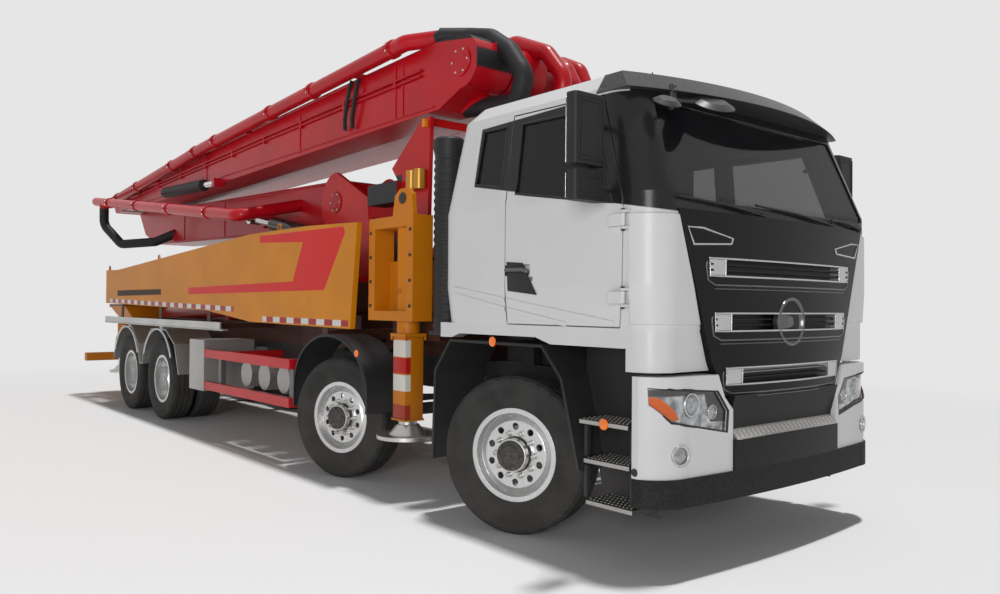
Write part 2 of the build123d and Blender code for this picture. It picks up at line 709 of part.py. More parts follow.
# ---- Outriggers: a beam in its box, a leg housing at its end, and a jack inside the housing ----
# name, hand, rear face, front face, lower face, upper face, leg's middle along the truck, leg's middle across
outriggers = (
    ("front_right", -1, -1675.0, -1375.0, 1450.3, 1890.0, -1280.0, 1050.0),
    ("front_left", 1, -1345.0, -1045.0, 1450.3, 1890.0, -1280.0, 1050.0),
    ("rear_right", -1, -9185.0, -8975.0, 980.3, 1195.0, -9200.0, 1000.0),
    ("rear_left", 1, -9425.0, -9215.0, 980.3, 1195.0, -9200.0, 1000.0),
)
housing_radius = 95.0
jack_radius = 75.0
foot_radius = 250.0
for name, hand, rear, ahead, low, high, leg_x, leg_y in outriggers:
    top = 2240.0 if name.startswith("front") else 1212.0
    base = 1290.0 if name.startswith("front") else 860.0
    beam_end = 900.0 if name.startswith("front") else 870.0
    stow = 460.0
    with BuildPart() as outrigger:
        add(block(rear, ahead, *sorted((-hand * beam_end, hand * (leg_y - 30))), low, high))
        with BuildSketch(plan(base)):
            with Locations((leg_x, hand * leg_y)):
                Circle(housing_radius)
        extrude(amount=top - base)
        if name.startswith("front"):
            y_in, y_out = sorted((hand * (leg_y - 60), hand * (leg_y + 130)))
            for x_from, x_to in ((-1690, -1600), (-1130, -1040)):
                add(block(x_from, x_to, y_in, y_out, 1400, 2240))
            add(block(-1690, -1040, y_in, y_out, 2150, 2240))
            add(block(-1690, -1040, y_in, y_out, 1400, 1480))
            ear = ((-1330, 2240), (-1300, 2400), (-1230, 2450), (-1130, 2450), (-1060, 2400), (-1040, 2240))
            add(slab(ear, *sorted((hand * (leg_y + 90), hand * (leg_y + 130)))))
        else:
            add(block(-9425, -8975, *sorted((hand * (leg_y - 60), hand * (leg_y - 20))), low, high))
        with BuildSketch(plan(base)):
            with Locations((leg_x, hand * leg_y)):
                Circle(jack_radius + run_gap)
        extrude(amount=top - base - 40, mode=Mode.SUBTRACT)
    write(outrigger.part, f"outrigger_{name}")
    with BuildPart() as jack:
        with BuildSketch(plan(stow + 50)):
            with Locations((leg_x, hand * leg_y)):
                Circle(jack_radius)
        extrude(amount=top - stow - 150)
        with BuildSketch(plan(stow)):
            with Locations((leg_x, hand * leg_y)):
                Circle(foot_radius if name.startswith("front") else 200)
        extrude(amount=30)
        with BuildSketch(plan(stow + 30)):
            with Locations((leg_x, hand * leg_y)):
                Circle(150)
        with BuildSketch(plan(stow + 110)):
            with Locations((leg_x, hand * leg_y)):
                Circle(90)
        loft()
    write(jack.part, f"jack_{name}")

# ---- Boom cradle behind the cab ----
with BuildPart() as boom_cradle:
    cradle = ((-1960, 1931), (-1960, 2600), (-2100, 2770), (-1620, 3150), (-1500, 3150), (-1540, 1931))
    for y_in, y_out in ((-700, -660), (660, 700)):
        add(slab(cradle, y_in, y_out))
    add(block(-1620, -1540, -700, 700, 3080, 3150))
    add(block(-1700, -1540, -700, 700, beam_high + 30 + seat_gap, 1960))
    add(block(-2420, -1930, -760, -560, 2450, 2640))
    for x in (-1710, -1590):
        with BuildSketch(plan(2530)):
            with Locations((x, -745)):
                Circle(52)
        extrude(amount=170)
    add(block(-1570, -1530, -740, -700, 3060, 3130))
write(boom_cradle.part, "boom_cradle")

# ---- Turret: slewing column with two rounded cheeks that carry the boom's root ----
with BuildPart() as turret:
    with BuildSketch(plan(pedestal_top + seat_gap)):
        with Locations((turret_x, 0)):
            Circle(turret_radius)
    extrude(amount=60)
    cheek_in = lane_1[1] + 5
    for hand in (-1, 1):
        with BuildSketch(side(max(hand * cheek_in, hand * (cheek_in + cheek_thick)))):
            with BuildLine():
                Polyline((turret_x + 420, pedestal_top + 50), (turret_x + 300, lift_pin[1]))
                Line((turret_x + 300, lift_pin[1]), (lift_pin[0], lift_pin[1] + cheek_radius))
                ThreePointArc((lift_pin[0], lift_pin[1] + cheek_radius),
                              (lift_pin[0] - cheek_radius, lift_pin[1]),
                              (lift_pin[0], lift_pin[1] - cheek_radius))
                Polyline((lift_pin[0], lift_pin[1] - cheek_radius), (turret_x - 480, pedestal_top + 50),
                         (turret_x + 420, pedestal_top + 50))
            make_face()
        extrude(amount=cheek_thick)
    add(block(turret_x - 250, turret_x + 380, -cheek_in, cheek_in, pedestal_top + 50, 2150))
    add(slab(((turret_x + 300, 2150), (turret_x + 380, 2150), (turret_x + 300, 2640), (turret_x + 220, 2640)),
             -cheek_in, cheek_in))
    for hand in (-1, 1):
        y_in, y_out = sorted((hand * cheek_in, hand * (cheek_in + cheek_thick)))
        foot = ((-3700, 2080), (lift_foot[0] - 90, lift_foot[1] - 90), (lift_foot[0] - 90, lift_foot[1] + 60),
                (-3900, 2480), (-3700, 2480))
        add(slab(foot, y_in, y_out))
    for (x, z), radius, reach in ((lift_pin, pin_radius, cheek_in), (lift_foot, 40, cylinder_out)):
        with BuildSketch(side(0)):
            with Locations((x, z)):
                Circle(radius)
        extrude(amount=reach, both=True)
write(turret.part, "turret")


# ---- Boom ----
def link(lane, outline, bosses, bores, pins):
    """One boom section: a side outline across its lane, with round ends, pin bores and pins."""
    with BuildPart() as made:
        with BuildSketch(side(lane[1])):
            Polygon(*outline, align=None)
            for x, z, radius in bosses:
                with Locations((x, z)):
                    Circle(radius)
            for x, z in bores:
                with Locations((x, z)):
                    Circle(pin_radius + run_gap, mode=Mode.SUBTRACT)
        extrude(amount=lane[1] - lane[0])
        for x, z, y_from, y_to in pins:
            with BuildSketch(side(y_to)):
                with Locations((x, z)):
                    Circle(pin_radius)
            extrude(amount=y_to - y_from)
    return made.part


boom_1_outline = ((-3750, 2400), (-5400, 2390), (-9900, 2500), (-10500, 2700), (-10900, 3150), (-10600, 3360),
                  (-10400, 3060), (-8800, 3030), (-3750, 2890))
boom_2_outline = ((-10700, 3060), (-6300, 3070), (-1350, 3180), (-1050, 3300), (-950, 3700), (-1300, 3760),
                  (-2500, 3720), (-10700, 3390))
boom_3_outline = ((-1050, 3320), (-1300, 3240), (-10050, 3120), (-10050, 3450), (-1900, 3740), (-1050, 3740))
boom_4_outline = ((-10050, 3150), (-1250, 3350), (-1250, 3680), (-10050, 3450))
boom_5_outline = ((-1250, 3350), (-9300, 3200), (-9300, 3400), (-1250, 3680))

boom_1 = link(lane_1, boom_1_outline, ((*lift_pin, 250), (*pin_12, 200)), (lift_pin, ),
              ((*pin_12, lane_2[0], lane_1[0]), ))
boom_2 = link(lane_2, boom_2_outline, ((*pin_12, 170), (*pin_23, 220)), (pin_12, ),
              ((*pin_23, lane_2[1], lane_3[1]), ))
boom_3 = link(lane_3, boom_3_outline, ((*pin_23, 210), (*pin_34, 160)), (pin_23, ),
              ((*pin_34, lane_3[1], lane_4[1]), ))
boom_4 = link(lane_4, boom_4_outline, ((*pin_34, 150), (*pin_45, 165)), (pin_34, ),
              ((*pin_45, lane_4[1], lane_5[1]), ))
boom_5 = link(lane_5, boom_5_outline, ((*pin_45, 165), (*tip_5, 100)), (pin_45, ), ())
with BuildPart() as section_1:
    add(boom_1)
    add(block(-11000, -10250, lane_3[1] + 10, lane_1[1] + 10, 2400, 3500), mode=Mode.SUBTRACT)
    with BuildSketch(side(0)):
        with Locations(lift_head):
            Circle(110)
    extrude(amount=boss_reach, both=True)
    add(tube((at(-10150, -1070, 3150), at(-10260, -1040, 2800), at(-9850, -880, 2470), at(-9300, -520, 2500),
              at(-9050, -280, 2640)), pipe_radius, 150))
    add(tube((at(-4700, -300, 2700), at(-4700, -1070, 2520), at(-10700, -1070, 3220), at(-10700, -950, 3220)),
             pipe_radius, 110))
    add(block(-7500, -7440, -1070, -310, 2800, 2840))
write(section_1.part, "boom_1")
with BuildPart() as section_2:
    add(boom_2)
    add(tube((at(-10700, -949, 3220), at(-10700, -830, 3220), at(-6400, -830, 3560), at(-1700, -830, 3800),
              at(-1350, -560, 3830)), pipe_radius, 105))
    add(tube((at(-1450, -640, 3826), at(-1250, -470, 3815), at(-1020, -430, 3760), at(-780, -430, 3600),
              at(-590, -430, 3360), at(-680, -430, 3150), at(-1320, -430, 3230)), hose_radius, 120))
    add(tube((at(-8000, -790, 3130), at(-6500, -790, 3080)), 75, 0))
    add(tube((at(-6510, -790, 3080), at(-6050, -790, 3066)), 40, 0))
    add(block(-6110, -6030, -840, -700, 3010, 3120))
    for x, z in ((-8500, 3340), (-5200, 3560), (-2600, 3690)):
        add(block(x - 30, x + 30, -830, -700, z, z + 40))
write(section_2.part, "boom_2")


def piped(section, across, bend, foot, run, route):
    """A boom section with its delivery pipe, and clamps that carry the pipe's long run from height foot."""
    (x1, z1), (x2, z2) = route[run:run + 2]
    with BuildPart() as made:
        add(section)
        add(tube([at(x, across, z) for x, z in route], pipe_radius, bend))
        for x in (-8000, -5000, -2500):
            axis_z = z1 + (x - x1) * (z2 - z1) / (x2 - x1)
            add(block(x - 30, x + 30, across - 40, across + 40, foot, axis_z))
    return made.part


write(piped(boom_3, -30.0, 140, 3500, 1, (
    (-9800, 3430), (-9600, 3558), (-1900, 3832), (-1150, 3832), (-760, 3660), (-540, 3400), (-620, 3190),
    (-1250, 3300))), "boom_3")
write(piped(boom_4, 300.0, 120, 3480, 1, (
    (-9900, 3420), (-9700, 3549), (-1400, 3766), (-1080, 3740), (-860, 3600), (-740, 3400), (-820, 3230),
    (-1400, 3380))), "boom_4")
outlet_y = (lane_5[0] + lane_5[1]) / 2
flange_reach = 150.0
with BuildPart() as section_5:
    add(piped(boom_5, outlet_y, 100, 3420, 4, (
        (-1450, 3380), (-950, 3270), (-850, 3450), (-950, 3660), (-1180, 3772), (-9000, 3500), (-9250, 3400))))
    for x, radius, reach in ((tip_5[0], outlet_radius + 30, flange_reach),
                             (tip_5[0] - flange_reach, outlet_radius, outlet_length)):
        with BuildSketch(front(x)):
            with Locations((outlet_y, tip_5[1])):
                Circle(radius)
        extrude(amount=-reach)
write(section_5.part, "boom_5")

# ---- Lift cylinders, one each side of the boom's root: barrels on the turret, rods on the boom ----
rod_radius = 45.0
barrel_length = 1000.0
with BuildPart() as lift_cylinder:
    for hand in (-1, 1):
        middle = hand * (cylinder_in + cylinder_out) / 2
        foot = Vector(*at(lift_foot[0], middle, lift_foot[1]))
        head = Vector(*at(lift_head[0], middle, lift_head[1]))
        along = (head - foot).normalized()
        add(tube((foot + along * 60, foot + along * barrel_length), 90, 0))
        with BuildSketch(side(middle + 80)):
            with Locations(lift_foot):
                Circle(85)
        extrude(amount=160)
        with BuildSketch(side(middle + 100)):
            with Locations(lift_foot):
                Circle(40 + run_gap)
        extrude(amount=200, mode=Mode.SUBTRACT)
        bore = tube((foot + along * 200, foot + along * (barrel_length + 10)), rod_radius + run_gap, 0)
        add(bore, mode=Mode.SUBTRACT)
write(lift_cylinder.part, "lift_cylinder")

with BuildPart() as lift_rods:
    for hand in (-1, 1):
        middle = hand * (cylinder_in + cylinder_out) / 2
        foot = Vector(*at(lift_foot[0], middle, lift_foot[1]))
        head = Vector(*at(lift_head[0], middle, lift_head[1]))
        along = (head - foot).normalized()
        add(tube((foot + along * 210, head - along * 50), rod_radius, 0))
        with BuildSketch(side(middle + 70)):
            with Locations(lift_head):
                Circle(75)
        extrude(amount=140)
        with BuildSketch(side(max(hand * (boss_reach + 6), hand * cylinder_out))):
            with Locations(lift_head):
                Circle(40)
        extrude(amount=cylinder_out - boss_reach - 6)
write(lift_rods.part, "lift_rods")

# ---- Side panels ----
panel = ((-9280, 2020), (-8670, 2010), (-3950, 2250), (-2710, 2250), (-1770, 2220), (-1870, 1320), (-3920, 1340),
         (-5180, 1450), (-9280, 1520))
with BuildPart() as side_panels:
    add(slab(panel, -half_width, -half_width + 50 - seat_gap))
    mirror(about=Plane.XZ)
write(side_panels.part, "side_panels")

# ---- Aluminium ledges, rear mudguards and toolboxes ----
rear_arch = ((-6080, 640), (-6240, 1010), (-6560, 1180), (-7150, 1180), (-7430, 960), (-7520, 700), (-7630, 700),
             (-7720, 960), (-8000, 1190), (-8450, 1190), (-8750, 1010), (-8870, 700))
with BuildPart() as rear_mudguards:
    add(block(-9320, -4670, -half_width, -1180, 1222, subframe_top - 60 - seat_gap))
    with BuildSketch(side(-720)):
        with BuildLine():
            Polyline(*rear_arch)
        trace(line_width=14)
    extrude(amount=520)
    add(block(-6800, -6700, -1240, -760, 1180, 1230))
    add(block(-8150, -8050, -1240, -760, 1180, 1230))
    mirror(about=Plane.XZ)

with BuildPart() as side_guards:
    for z in (530, 900):
        add(block(-5230 + seat_gap, -3050, -1230, -1180, z, z + 95))
    for x in (-3100, -4900):
        add(block(x - 40, x + 40, -1180, -rail_half - seat_gap, 900, 980))
        add(block(x - 40, x + 40, -1180, -1120, 530, 995))
    mirror(about=Plane.XZ)
write(side_guards.part, "side_guards")

with BuildPart() as toolboxes:
    add(block(-5690, -5230, -1240, -rail_half - 200, 510, 1100))
    add(block(-5600, -5300, -rail_half - 200, -rail_half - seat_gap, 850, 1000))
    mirror(about=Plane.XZ)
write(Compound(children=[rear_mudguards.part, toolboxes.part]), "aluminium_trim")

# ---- Hopper with its grate and rear beam ----
with BuildPart() as hopper:
    for z, rear, ahead, half in ((720, -10200, -9850, 350), (1480, -10600, -9740, 850)):
        with BuildSketch(plan(z)):
            with Locations(((rear + ahead) / 2, 0)):
                Rectangle(ahead - rear, 2 * half)
    loft(ruled=True)
    neck = ((-9830, 980), (-9450 - seat_gap, 980), (-9450 - seat_gap, 1200), (-9795, 1200))
    add(slab(neck, -rail_half, rail_half))
    add(block(-10700, -10560, -1200, 1200, 560, 690))
    for hand in (-1, 1):
        y_in, y_out = sorted((hand * 380, hand * 440))
        add(block(-10600, -9700, y_in, y_out, 640, 900))
    for z, rear, ahead, half in ((740, -10180, -9870, 330), (1481, -10580, -9760, 830)):
        with BuildSketch(plan(z)):
            with Locations(((rear + ahead) / 2, 0)):
                Rectangle(ahead - rear, 2 * half)
    loft(ruled=True, mode=Mode.SUBTRACT)
write(hopper.part, "hopper")

with BuildPart() as hopper_grate:
    add(block(-10600, -9740, -850, 850, 1480 + seat_gap, 1500))
    for y in range(-700, 701, 200):
        add(block(-10540, -9800, y - 85, y + 85, 1470, 1510), mode=Mode.SUBTRACT)
    with BuildSketch(side(850)):
        with Locations((-9728, 1491.5)):
            Circle(10)
    extrude(amount=1700)
write(hopper_grate.part, "hopper_grate")
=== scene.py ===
# Looks of a concrete pump truck with its boom stowed. Metres; +X is forward, +Y the truck's left, +Z up.
from math import cos, pi, radians, sin

import bmesh
import bpy
from mathutils import Matrix, Vector


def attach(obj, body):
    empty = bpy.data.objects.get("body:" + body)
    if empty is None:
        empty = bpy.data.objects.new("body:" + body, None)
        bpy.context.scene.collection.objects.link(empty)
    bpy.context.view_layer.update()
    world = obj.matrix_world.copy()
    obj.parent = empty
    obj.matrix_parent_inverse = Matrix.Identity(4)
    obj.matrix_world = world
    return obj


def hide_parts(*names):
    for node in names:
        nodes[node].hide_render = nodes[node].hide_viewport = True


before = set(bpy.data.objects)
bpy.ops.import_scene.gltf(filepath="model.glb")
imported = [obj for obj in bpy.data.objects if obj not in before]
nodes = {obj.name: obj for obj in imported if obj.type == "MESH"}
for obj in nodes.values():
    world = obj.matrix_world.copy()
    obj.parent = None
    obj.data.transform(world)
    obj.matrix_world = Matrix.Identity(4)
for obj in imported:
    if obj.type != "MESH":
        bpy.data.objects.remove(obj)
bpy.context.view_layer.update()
axleOne = 4.7  # the first axle's place; other places along the truck are measured from it
handSigns = {"right": -1, "left": 1}
print("frame loaded:", len(nodes), "nodes")

cameraSet = {
    "place": (8.9926, -4.7839, 1.5278), "yaw": 49.875, "pitch": 0.612, "roll": 0.496, "lens": 29.69,
    "sensor": 36.0, "far": 500.0
}


def makeCamera():
    yaw, pitch, roll = (radians(cameraSet[key]) for key in ("yaw", "pitch", "roll"))
    look = Vector((-sin(yaw) * cos(pitch), cos(yaw) * cos(pitch), sin(pitch)))
    right = Vector((cos(yaw), sin(yaw), 0))
    up = right.cross(look)
    columns = (right * cos(roll) + up * sin(roll), up * cos(roll) - right * sin(roll), -look)
    data = bpy.data.cameras.new("viewCamera")
    data.lens = cameraSet["lens"]
    data.sensor_width = cameraSet["sensor"]
    data.clip_end = cameraSet["far"]
    made = bpy.data.objects.new("viewCamera", data)
    made.matrix_world = Matrix.Translation(cameraSet["place"]) @ Matrix(columns).transposed().to_4x4()
    bpy.context.scene.collection.objects.link(made)
    bpy.context.scene.camera = made


makeCamera()
bpy.context.scene.view_settings.view_transform = "Standard"


class Shade:  # one socket of a node tree; an expression on it adds the nodes
    def __init__(self, tree, socket=None):
        self.tree = tree
        self.socket = socket

    def node(self, kind, settings, inputs, out=0):
        made = self.tree.nodes.new("ShaderNode" + kind)
        for key, value in settings.items():
            setattr(made, key, value)
        for key, value in inputs.items():
            if isinstance(value, Shade):
                self.tree.links.new(value.socket, made.inputs[key])
            elif made.inputs[key].type == "RGBA":
                made.inputs[key].default_value = (*value, 1)
            else:
                made.inputs[key].default_value = value
        return Shade(self.tree, made.outputs[out] if made.outputs else None)

    def other(self, name):
        return Shade(self.tree, self.socket.node.outputs[name])

    def math(self, operation, *terms):
        return self.node("Math", {"operation": operation}, dict(enumerate(terms)))

    def __add__(self, term):
        return self.math("ADD", self, term)

    def __sub__(self, term):
        return self.math("SUBTRACT", self, term)

    def __rsub__(self, term):
        return self.math("SUBTRACT", term, self)

    def __mul__(self, term):
        return self.math("MULTIPLY", self, term)

    def __truediv__(self, term):
        return self.math("DIVIDE", self, term)

    __radd__ = __add__
    __rmul__ = __mul__

    def rise(self, low, high):  # 0 below low, 1 above high, smooth between
        return self.node("MapRange", {"interpolation_type": "SMOOTHSTEP"}, {0: self, 1: low, 2: high})

    def within(self, low, high, soft):
        return self.rise(low - soft, low + soft) * (1 - self.rise(high - soft, high + soft))

    def vector(self, operation, other, out=0):
        return self.node("VectorMath", {"operation": operation}, {0: self, 1: other}, out)

    def mixed(self, first, second):  # colours, by this socket as the share of the second
        return self.node("Mix", {"data_type": "RGBA"}, {0: self, 6: first, 7: second}, 2)


studio = {
    "light": (0.98, 0.99, 1.0), "lightStrength": 0.17, "shown": (0.791, 0.791, 0.791),
    "floor": (0.79, 0.79, 0.79), "floorHalf": 200.0, "fadeFrom": 8.5, "fadeTo": 13.5, "sunStrength": 2.4,
    "sunAngle": 4.0, "sunTurn": (-5.0, 1.0, 0.0), "fillEnergy": 1500.0, "fillPlace": (16.0, -15.0, 3.4),
    "fillSize": 6.5, "fillAim": (0.0, 0.0, 1.5)
}


def makeWorld():
    world = bpy.data.worlds.new("studio")
    world.use_nodes = True
    world.node_tree.nodes.clear()
    start = Shade(world.node_tree)
    rays = start.node("LightPath", {}, {}, "Is Camera Ray")
    seen = start.math("MAXIMUM", rays, start.math("MAXIMUM", rays.other("Is Glossy Ray"),
                                                  rays.other("Is Transmission Ray")))
    light = start.node("Background", {}, {"Color": studio["light"], "Strength": studio["lightStrength"]})
    shown = start.node("Background", {}, {"Color": studio["shown"], "Strength": 1.0})
    start.node("OutputWorld", {}, {0: start.node("MixShader", {}, {0: seen, 1: light, 2: shown})})
    bpy.context.scene.world = world


def makeLamps():
    sun = bpy.data.lights.new("sun", "SUN")
    sun.energy = studio["sunStrength"]
    sun.angle = radians(studio["sunAngle"])
    made = bpy.data.objects.new("sun", sun)
    made.rotation_euler = [radians(turn) for turn in studio["sunTurn"]]
    bpy.context.scene.collection.objects.link(made)
    fill = bpy.data.lights.new("fill", "AREA")
    fill.energy = studio["fillEnergy"]
    fill.size = studio["fillSize"]
    made = bpy.data.objects.new("fill", fill)
    made.location = studio["fillPlace"]
    aim = Vector(studio["fillAim"]) - Vector(studio["fillPlace"])
    made.rotation_euler = aim.to_track_quat("-Z", "Y").to_euler()
    bpy.context.scene.collection.objects.link(made)


def makeFloor():
    shape = bmesh.new()
    bmesh.ops.create_grid(shape, x_segments=1, y_segments=1, size=studio["floorHalf"])
    mesh = bpy.data.meshes.new("floor")
    shape.to_mesh(mesh)
    shape.free()
    floor = bpy.data.objects.new("floor", mesh)
    bpy.context.scene.collection.objects.link(floor)
    material = bpy.data.materials.new("studioFloor")
    material.use_nodes = True
    material.node_tree.nodes.clear()
    start = Shade(material.node_tree)
    spot = start.node("TexCoord", {}, {}, "Object")
    far = start.node("VectorMath", {"operation": "LENGTH"}, {0: spot}, "Value")
    matt = start.node("BsdfPrincipled", {}, {"Base Color": studio["floor"], "Roughness": 0.9,
                                             "Specular IOR Level": 0.1})
    lit = start.node("Emission", {}, {"Color": studio["shown"], "Strength": 1.0})
    blend = far.rise(studio["fadeFrom"], studio["fadeTo"])
    start.node("OutputMaterial", {}, {0: start.node("MixShader", {}, {0: blend, 1: matt, 2: lit})})
    mesh.materials.append(material)


makeWorld()
makeLamps()
makeFloor()
print("studio ready")


def loopPairs(items):  # each item with the next one, and the last with the first
    return list(zip(items, items[1:] + items[:1]))


zoneSoft = 0.004  # how far a painted zone's edge blends


def outlineMask(first, second, outline):
    # 1 inside a convex outline, whichever way round it is given
    pairs = loopPairs(outline)
    turn = 1 if sum(a[0] * b[1] - b[0] * a[1] for a, b in pairs) > 0 else -1
    mask = None
    for (x1, y1), (x2, y2) in pairs:
        length = turn * ((x2 - x1) ** 2 + (y2 - y1) ** 2) ** 0.5
        stepX, stepY = (x2 - x1) / length, (y2 - y1) / length
        inside = (second * stepX - first * stepY - (y1 * stepX - x1 * stepY)).rise(-zoneSoft, zoneSoft)
        mask = inside if mask is None else mask * inside
    return mask


def zoneMask(spot, zone):
    parts = [spot[axis].within(*zone[axis], zoneSoft)
             for axis in ("along", "across", "wide", "up") if axis in zone]
    if "inner" in zone:  # faces that look towards a middle point; the cab uses this for painted shade on its inward faces
        x, y, z = zone["inner"]
        facing = spot["place"].vector("SUBTRACT", (axleOne + x, y, z))
        facing = facing.vector("DOT_PRODUCT", spot["normal"], "Value")
        parts.append(1 - facing.rise(-0.03, 0.0))
    for view, axis in (("side", "along"), ("face", "wide")):
        if view in zone:
            parts.append(outlineMask(spot[axis], spot["up"], zone[view]))
    mask = parts[0]
    for part in parts[1:]:
        mask = mask * part
    return mask


plainLook = {
    "color": (0.5, 0.5, 0.5), "rough": 0.5, "roughVary": 0.1, "metal": 0.0, "coat": 0.0, "coatRough": 0.08,
    "shine": 0.22, "mottle": 0.06, "cloud": 1.6, "grain": 60.0, "bump": 0.05, "depth": 0.001, "edge": 0.006,
    "worn": (0.5, 0.5, 0.5), "wornShare": 0.5, "dust": 0.25, "dustColor": (0.3, 0.27, 0.24), "dustTop": 1.1,
    "zones": ()
}


def finish(name, look):
    look = {**plainLook, **look}
    made = bpy.data.materials.new(name)
    made.use_nodes = True
    made.node_tree.nodes.clear()
    start = Shade(made.node_tree)
    place = start.node("TexCoord", {}, {}, "Object")
    along = start.node("SeparateXYZ", {}, {0: place})
    spot = {"along": along - axleOne, "across": along.other("Y"), "up": along.other("Z"), "place": place,
            "normal": place.other("Normal")}
    spot["wide"] = start.math("ABSOLUTE", spot["across"])
    cloud = start.node("TexNoise", {}, {"Vector": place, "Scale": look["cloud"], "Detail": 4.0})
    grain = start.node("TexNoise", {}, {"Vector": place, "Scale": look["grain"], "Detail": 3.0})
    light = tuple(min(1.0, c * (1 + look["mottle"])) for c in look["color"])
    dark = tuple(c * (1 - look["mottle"]) for c in look["color"])
    color = cloud.rise(0.3, 0.7).mixed(dark, light)
    rough = look["rough"] + (grain - 0.5) * look["roughVary"]
    metal, coat = look["metal"], look["coat"]
    for zone in look["zones"]:
        mask = zoneMask(spot, zone)
        paint = zone["color"]
        if "stripes" in zone:
            axis, period, second = zone["stripes"]
            turn = start.math("FRACT", spot[axis] / period)
            paint = turn.within(0.25, 0.75, 0.02).mixed(paint, second)
        color = mask.mixed(color, paint)
        rough = rough * (1 - mask) + mask * zone.get("rough", look["rough"])
        metal = (1 - mask) * metal + mask * zone.get("metal", 0.0)
        coat = (1 - mask) * coat + mask * zone.get("coat", look["coat"])
    normal = start.node("Bevel", {"samples": 4}, {"Radius": look["edge"]})
    if look["wornShare"]:
        flat = start.node("NewGeometry", {}, {}, "Normal")
        worn = (1 - normal.vector("DOT_PRODUCT", flat, "Value")).rise(0.02, 0.3)
        worn = worn * cloud.rise(0.35, 0.7) * look["wornShare"]
        color = worn.mixed(color, look["worn"])
        rough = rough + worn * 0.15
    if look["dust"]:
        low = (1 - spot["up"].rise(0.1, look["dustTop"])) * grain.rise(0.2, 0.9) * look["dust"]
        color = low.mixed(color, look["dustColor"])
        rough = rough + low * 0.4
    bump = start.node("Bump", {}, {"Strength": look["bump"], "Distance": look["depth"], "Height": grain,
                                   "Normal": normal})
    values = {"Base Color": color, "Roughness": rough, "Metallic": metal, "Coat Weight": coat,
              "Coat Roughness": look["coatRough"], "Normal": bump, "Specular IOR Level": look["shine"]}
    if "alpha" in look:
        values["Alpha"] = look["alpha"]
    if "glow" in look:
        values["Emission Color"] = look["glow"]
        values["Emission Strength"] = 1.0
    start.node("OutputMaterial", {}, {0: start.node("BsdfPrincipled", {}, values)})
    return made


blackZone = {"color": (0.013, 0.013, 0.014), "rough": 0.26, "coat": 0.05}
hoseBlack = {"color": (0.016, 0.015, 0.017), "rough": 0.55, "coat": 0.0}
chromeBar = {"color": (0.75, 0.75, 0.75), "rough": 0.12, "metal": 1.0}
graphicRed = {"color": (0.6, 0.01, 0.008), "rough": 0.4, "coat": 0.0}
tapeWhite, tapeRed, tapeYellow = (0.62, 0.6, 0.55), (0.42, 0.012, 0.01), (0.7, 0.52, 0.01)
tapeDull = (0.32, 0.03, 0.01)
tape = {"color": tapeWhite, "rough": 0.3, "stripes": ("along", 0.3, (0.32, 0.012, 0.01))}
red = {"color": (0.44, 0.003, 0.01), "rough": 0.34, "coat": 0.12, "worn": (0.6, 0.05, 0.06), "dust": 0.0,
       "mottle": 0.1}
amber = {"color": (0.58, 0.205, 0.003), "rough": 0.42, "worn": (0.55, 0.34, 0.1), "mottle": 0.07}
frameTone = {**amber, "color": (0.52, 0.165, 0.004)}
lens = {"rough": 0.15, "coat": 0.8, "wornShare": 0.0, "dust": 0.05}

cabZones = [
    # painted shade: the cab shell's inward faces, seen through the glass and under the skirts, made near
    # black
    {"color": (0.02, 0.02, 0.022), "rough": 0.7, "coat": 0.0, "inner": (0.4, 0.0, 2.1), "up": (1.42, 2.9),
     "along": (-0.63, 1.41), "wide": (-0.1, 1.245)},
    {**blackZone, "wide": (1.0, 1.3), "side": [(-0.215, 2.352), (1.45, 2.06), (1.45, 2.8), (-0.19, 2.757)]},
    {**blackZone, "along": (1.1, 1.6), "up": (2.085, 2.83), "wide": (-0.1, 1.12)},
    {**blackZone, "along": (1.2, 1.6), "up": (2.12, 2.83)},
]
panelZones = [
    {**graphicRed, "side": [(-3.7, 2.217), (-2.0, 2.2), (-1.965, 2.141), (-2.75, 2.105), (-3.7, 2.146)]},
    {**graphicRed, "side": [(-2.75, 2.107), (-1.97, 2.143), (-2.333, 1.655), (-3.005, 1.65)]},
    {**graphicRed, "side": [(-5.732, 1.714), (-2.92, 1.743), (-2.95, 1.651), (-5.729, 1.633)]},
    {"color": (0.035, 0.02, 0.012), "rough": 0.6,
     "side": [(-8.681, 1.707), (-6.732, 1.708), (-6.729, 1.635), (-8.676, 1.624)]},
    {**tape, "side": [(-9.1, 1.585), (-4.35, 1.495), (-4.35, 1.441), (-9.1, 1.531)]},
    {**tape, "side": [(-3.62, 1.402), (-1.9, 1.392), (-1.9, 1.338), (-3.62, 1.348)]},
]
boomZones = [  # hoses, cylinder and rods that share the sections' nodes
    {**hoseBlack, "across": (-1.2, -0.33),
     "side": [(-10.42, 3.085), (-10.42, 2.3), (-8.9, 2.3), (-8.9, 2.93)]},
    {**hoseBlack, "across": (-0.75, -0.34),
     "side": [(-0.845, 2.9), (-0.4, 2.9), (-0.4, 3.95), (-0.845, 3.95)]},
    {**hoseBlack, "across": (-0.78, -0.34),
     "side": [(-1.44, 3.764), (-0.8, 3.66), (-0.8, 3.95), (-1.44, 3.95)]},
    {**hoseBlack, "across": (-0.75, -0.34),
     "side": [(-1.36, 3.165), (-0.83, 3.305), (-0.83, 2.9), (-1.36, 2.9)]},
    {**hoseBlack, "across": (-0.95, -0.722), "along": (-8.05, -6.49), "up": (2.98, 3.23)},
    {**chromeBar, "across": (-0.95, -0.722), "along": (-6.49, -6.115), "up": (2.98, 3.16)},
]
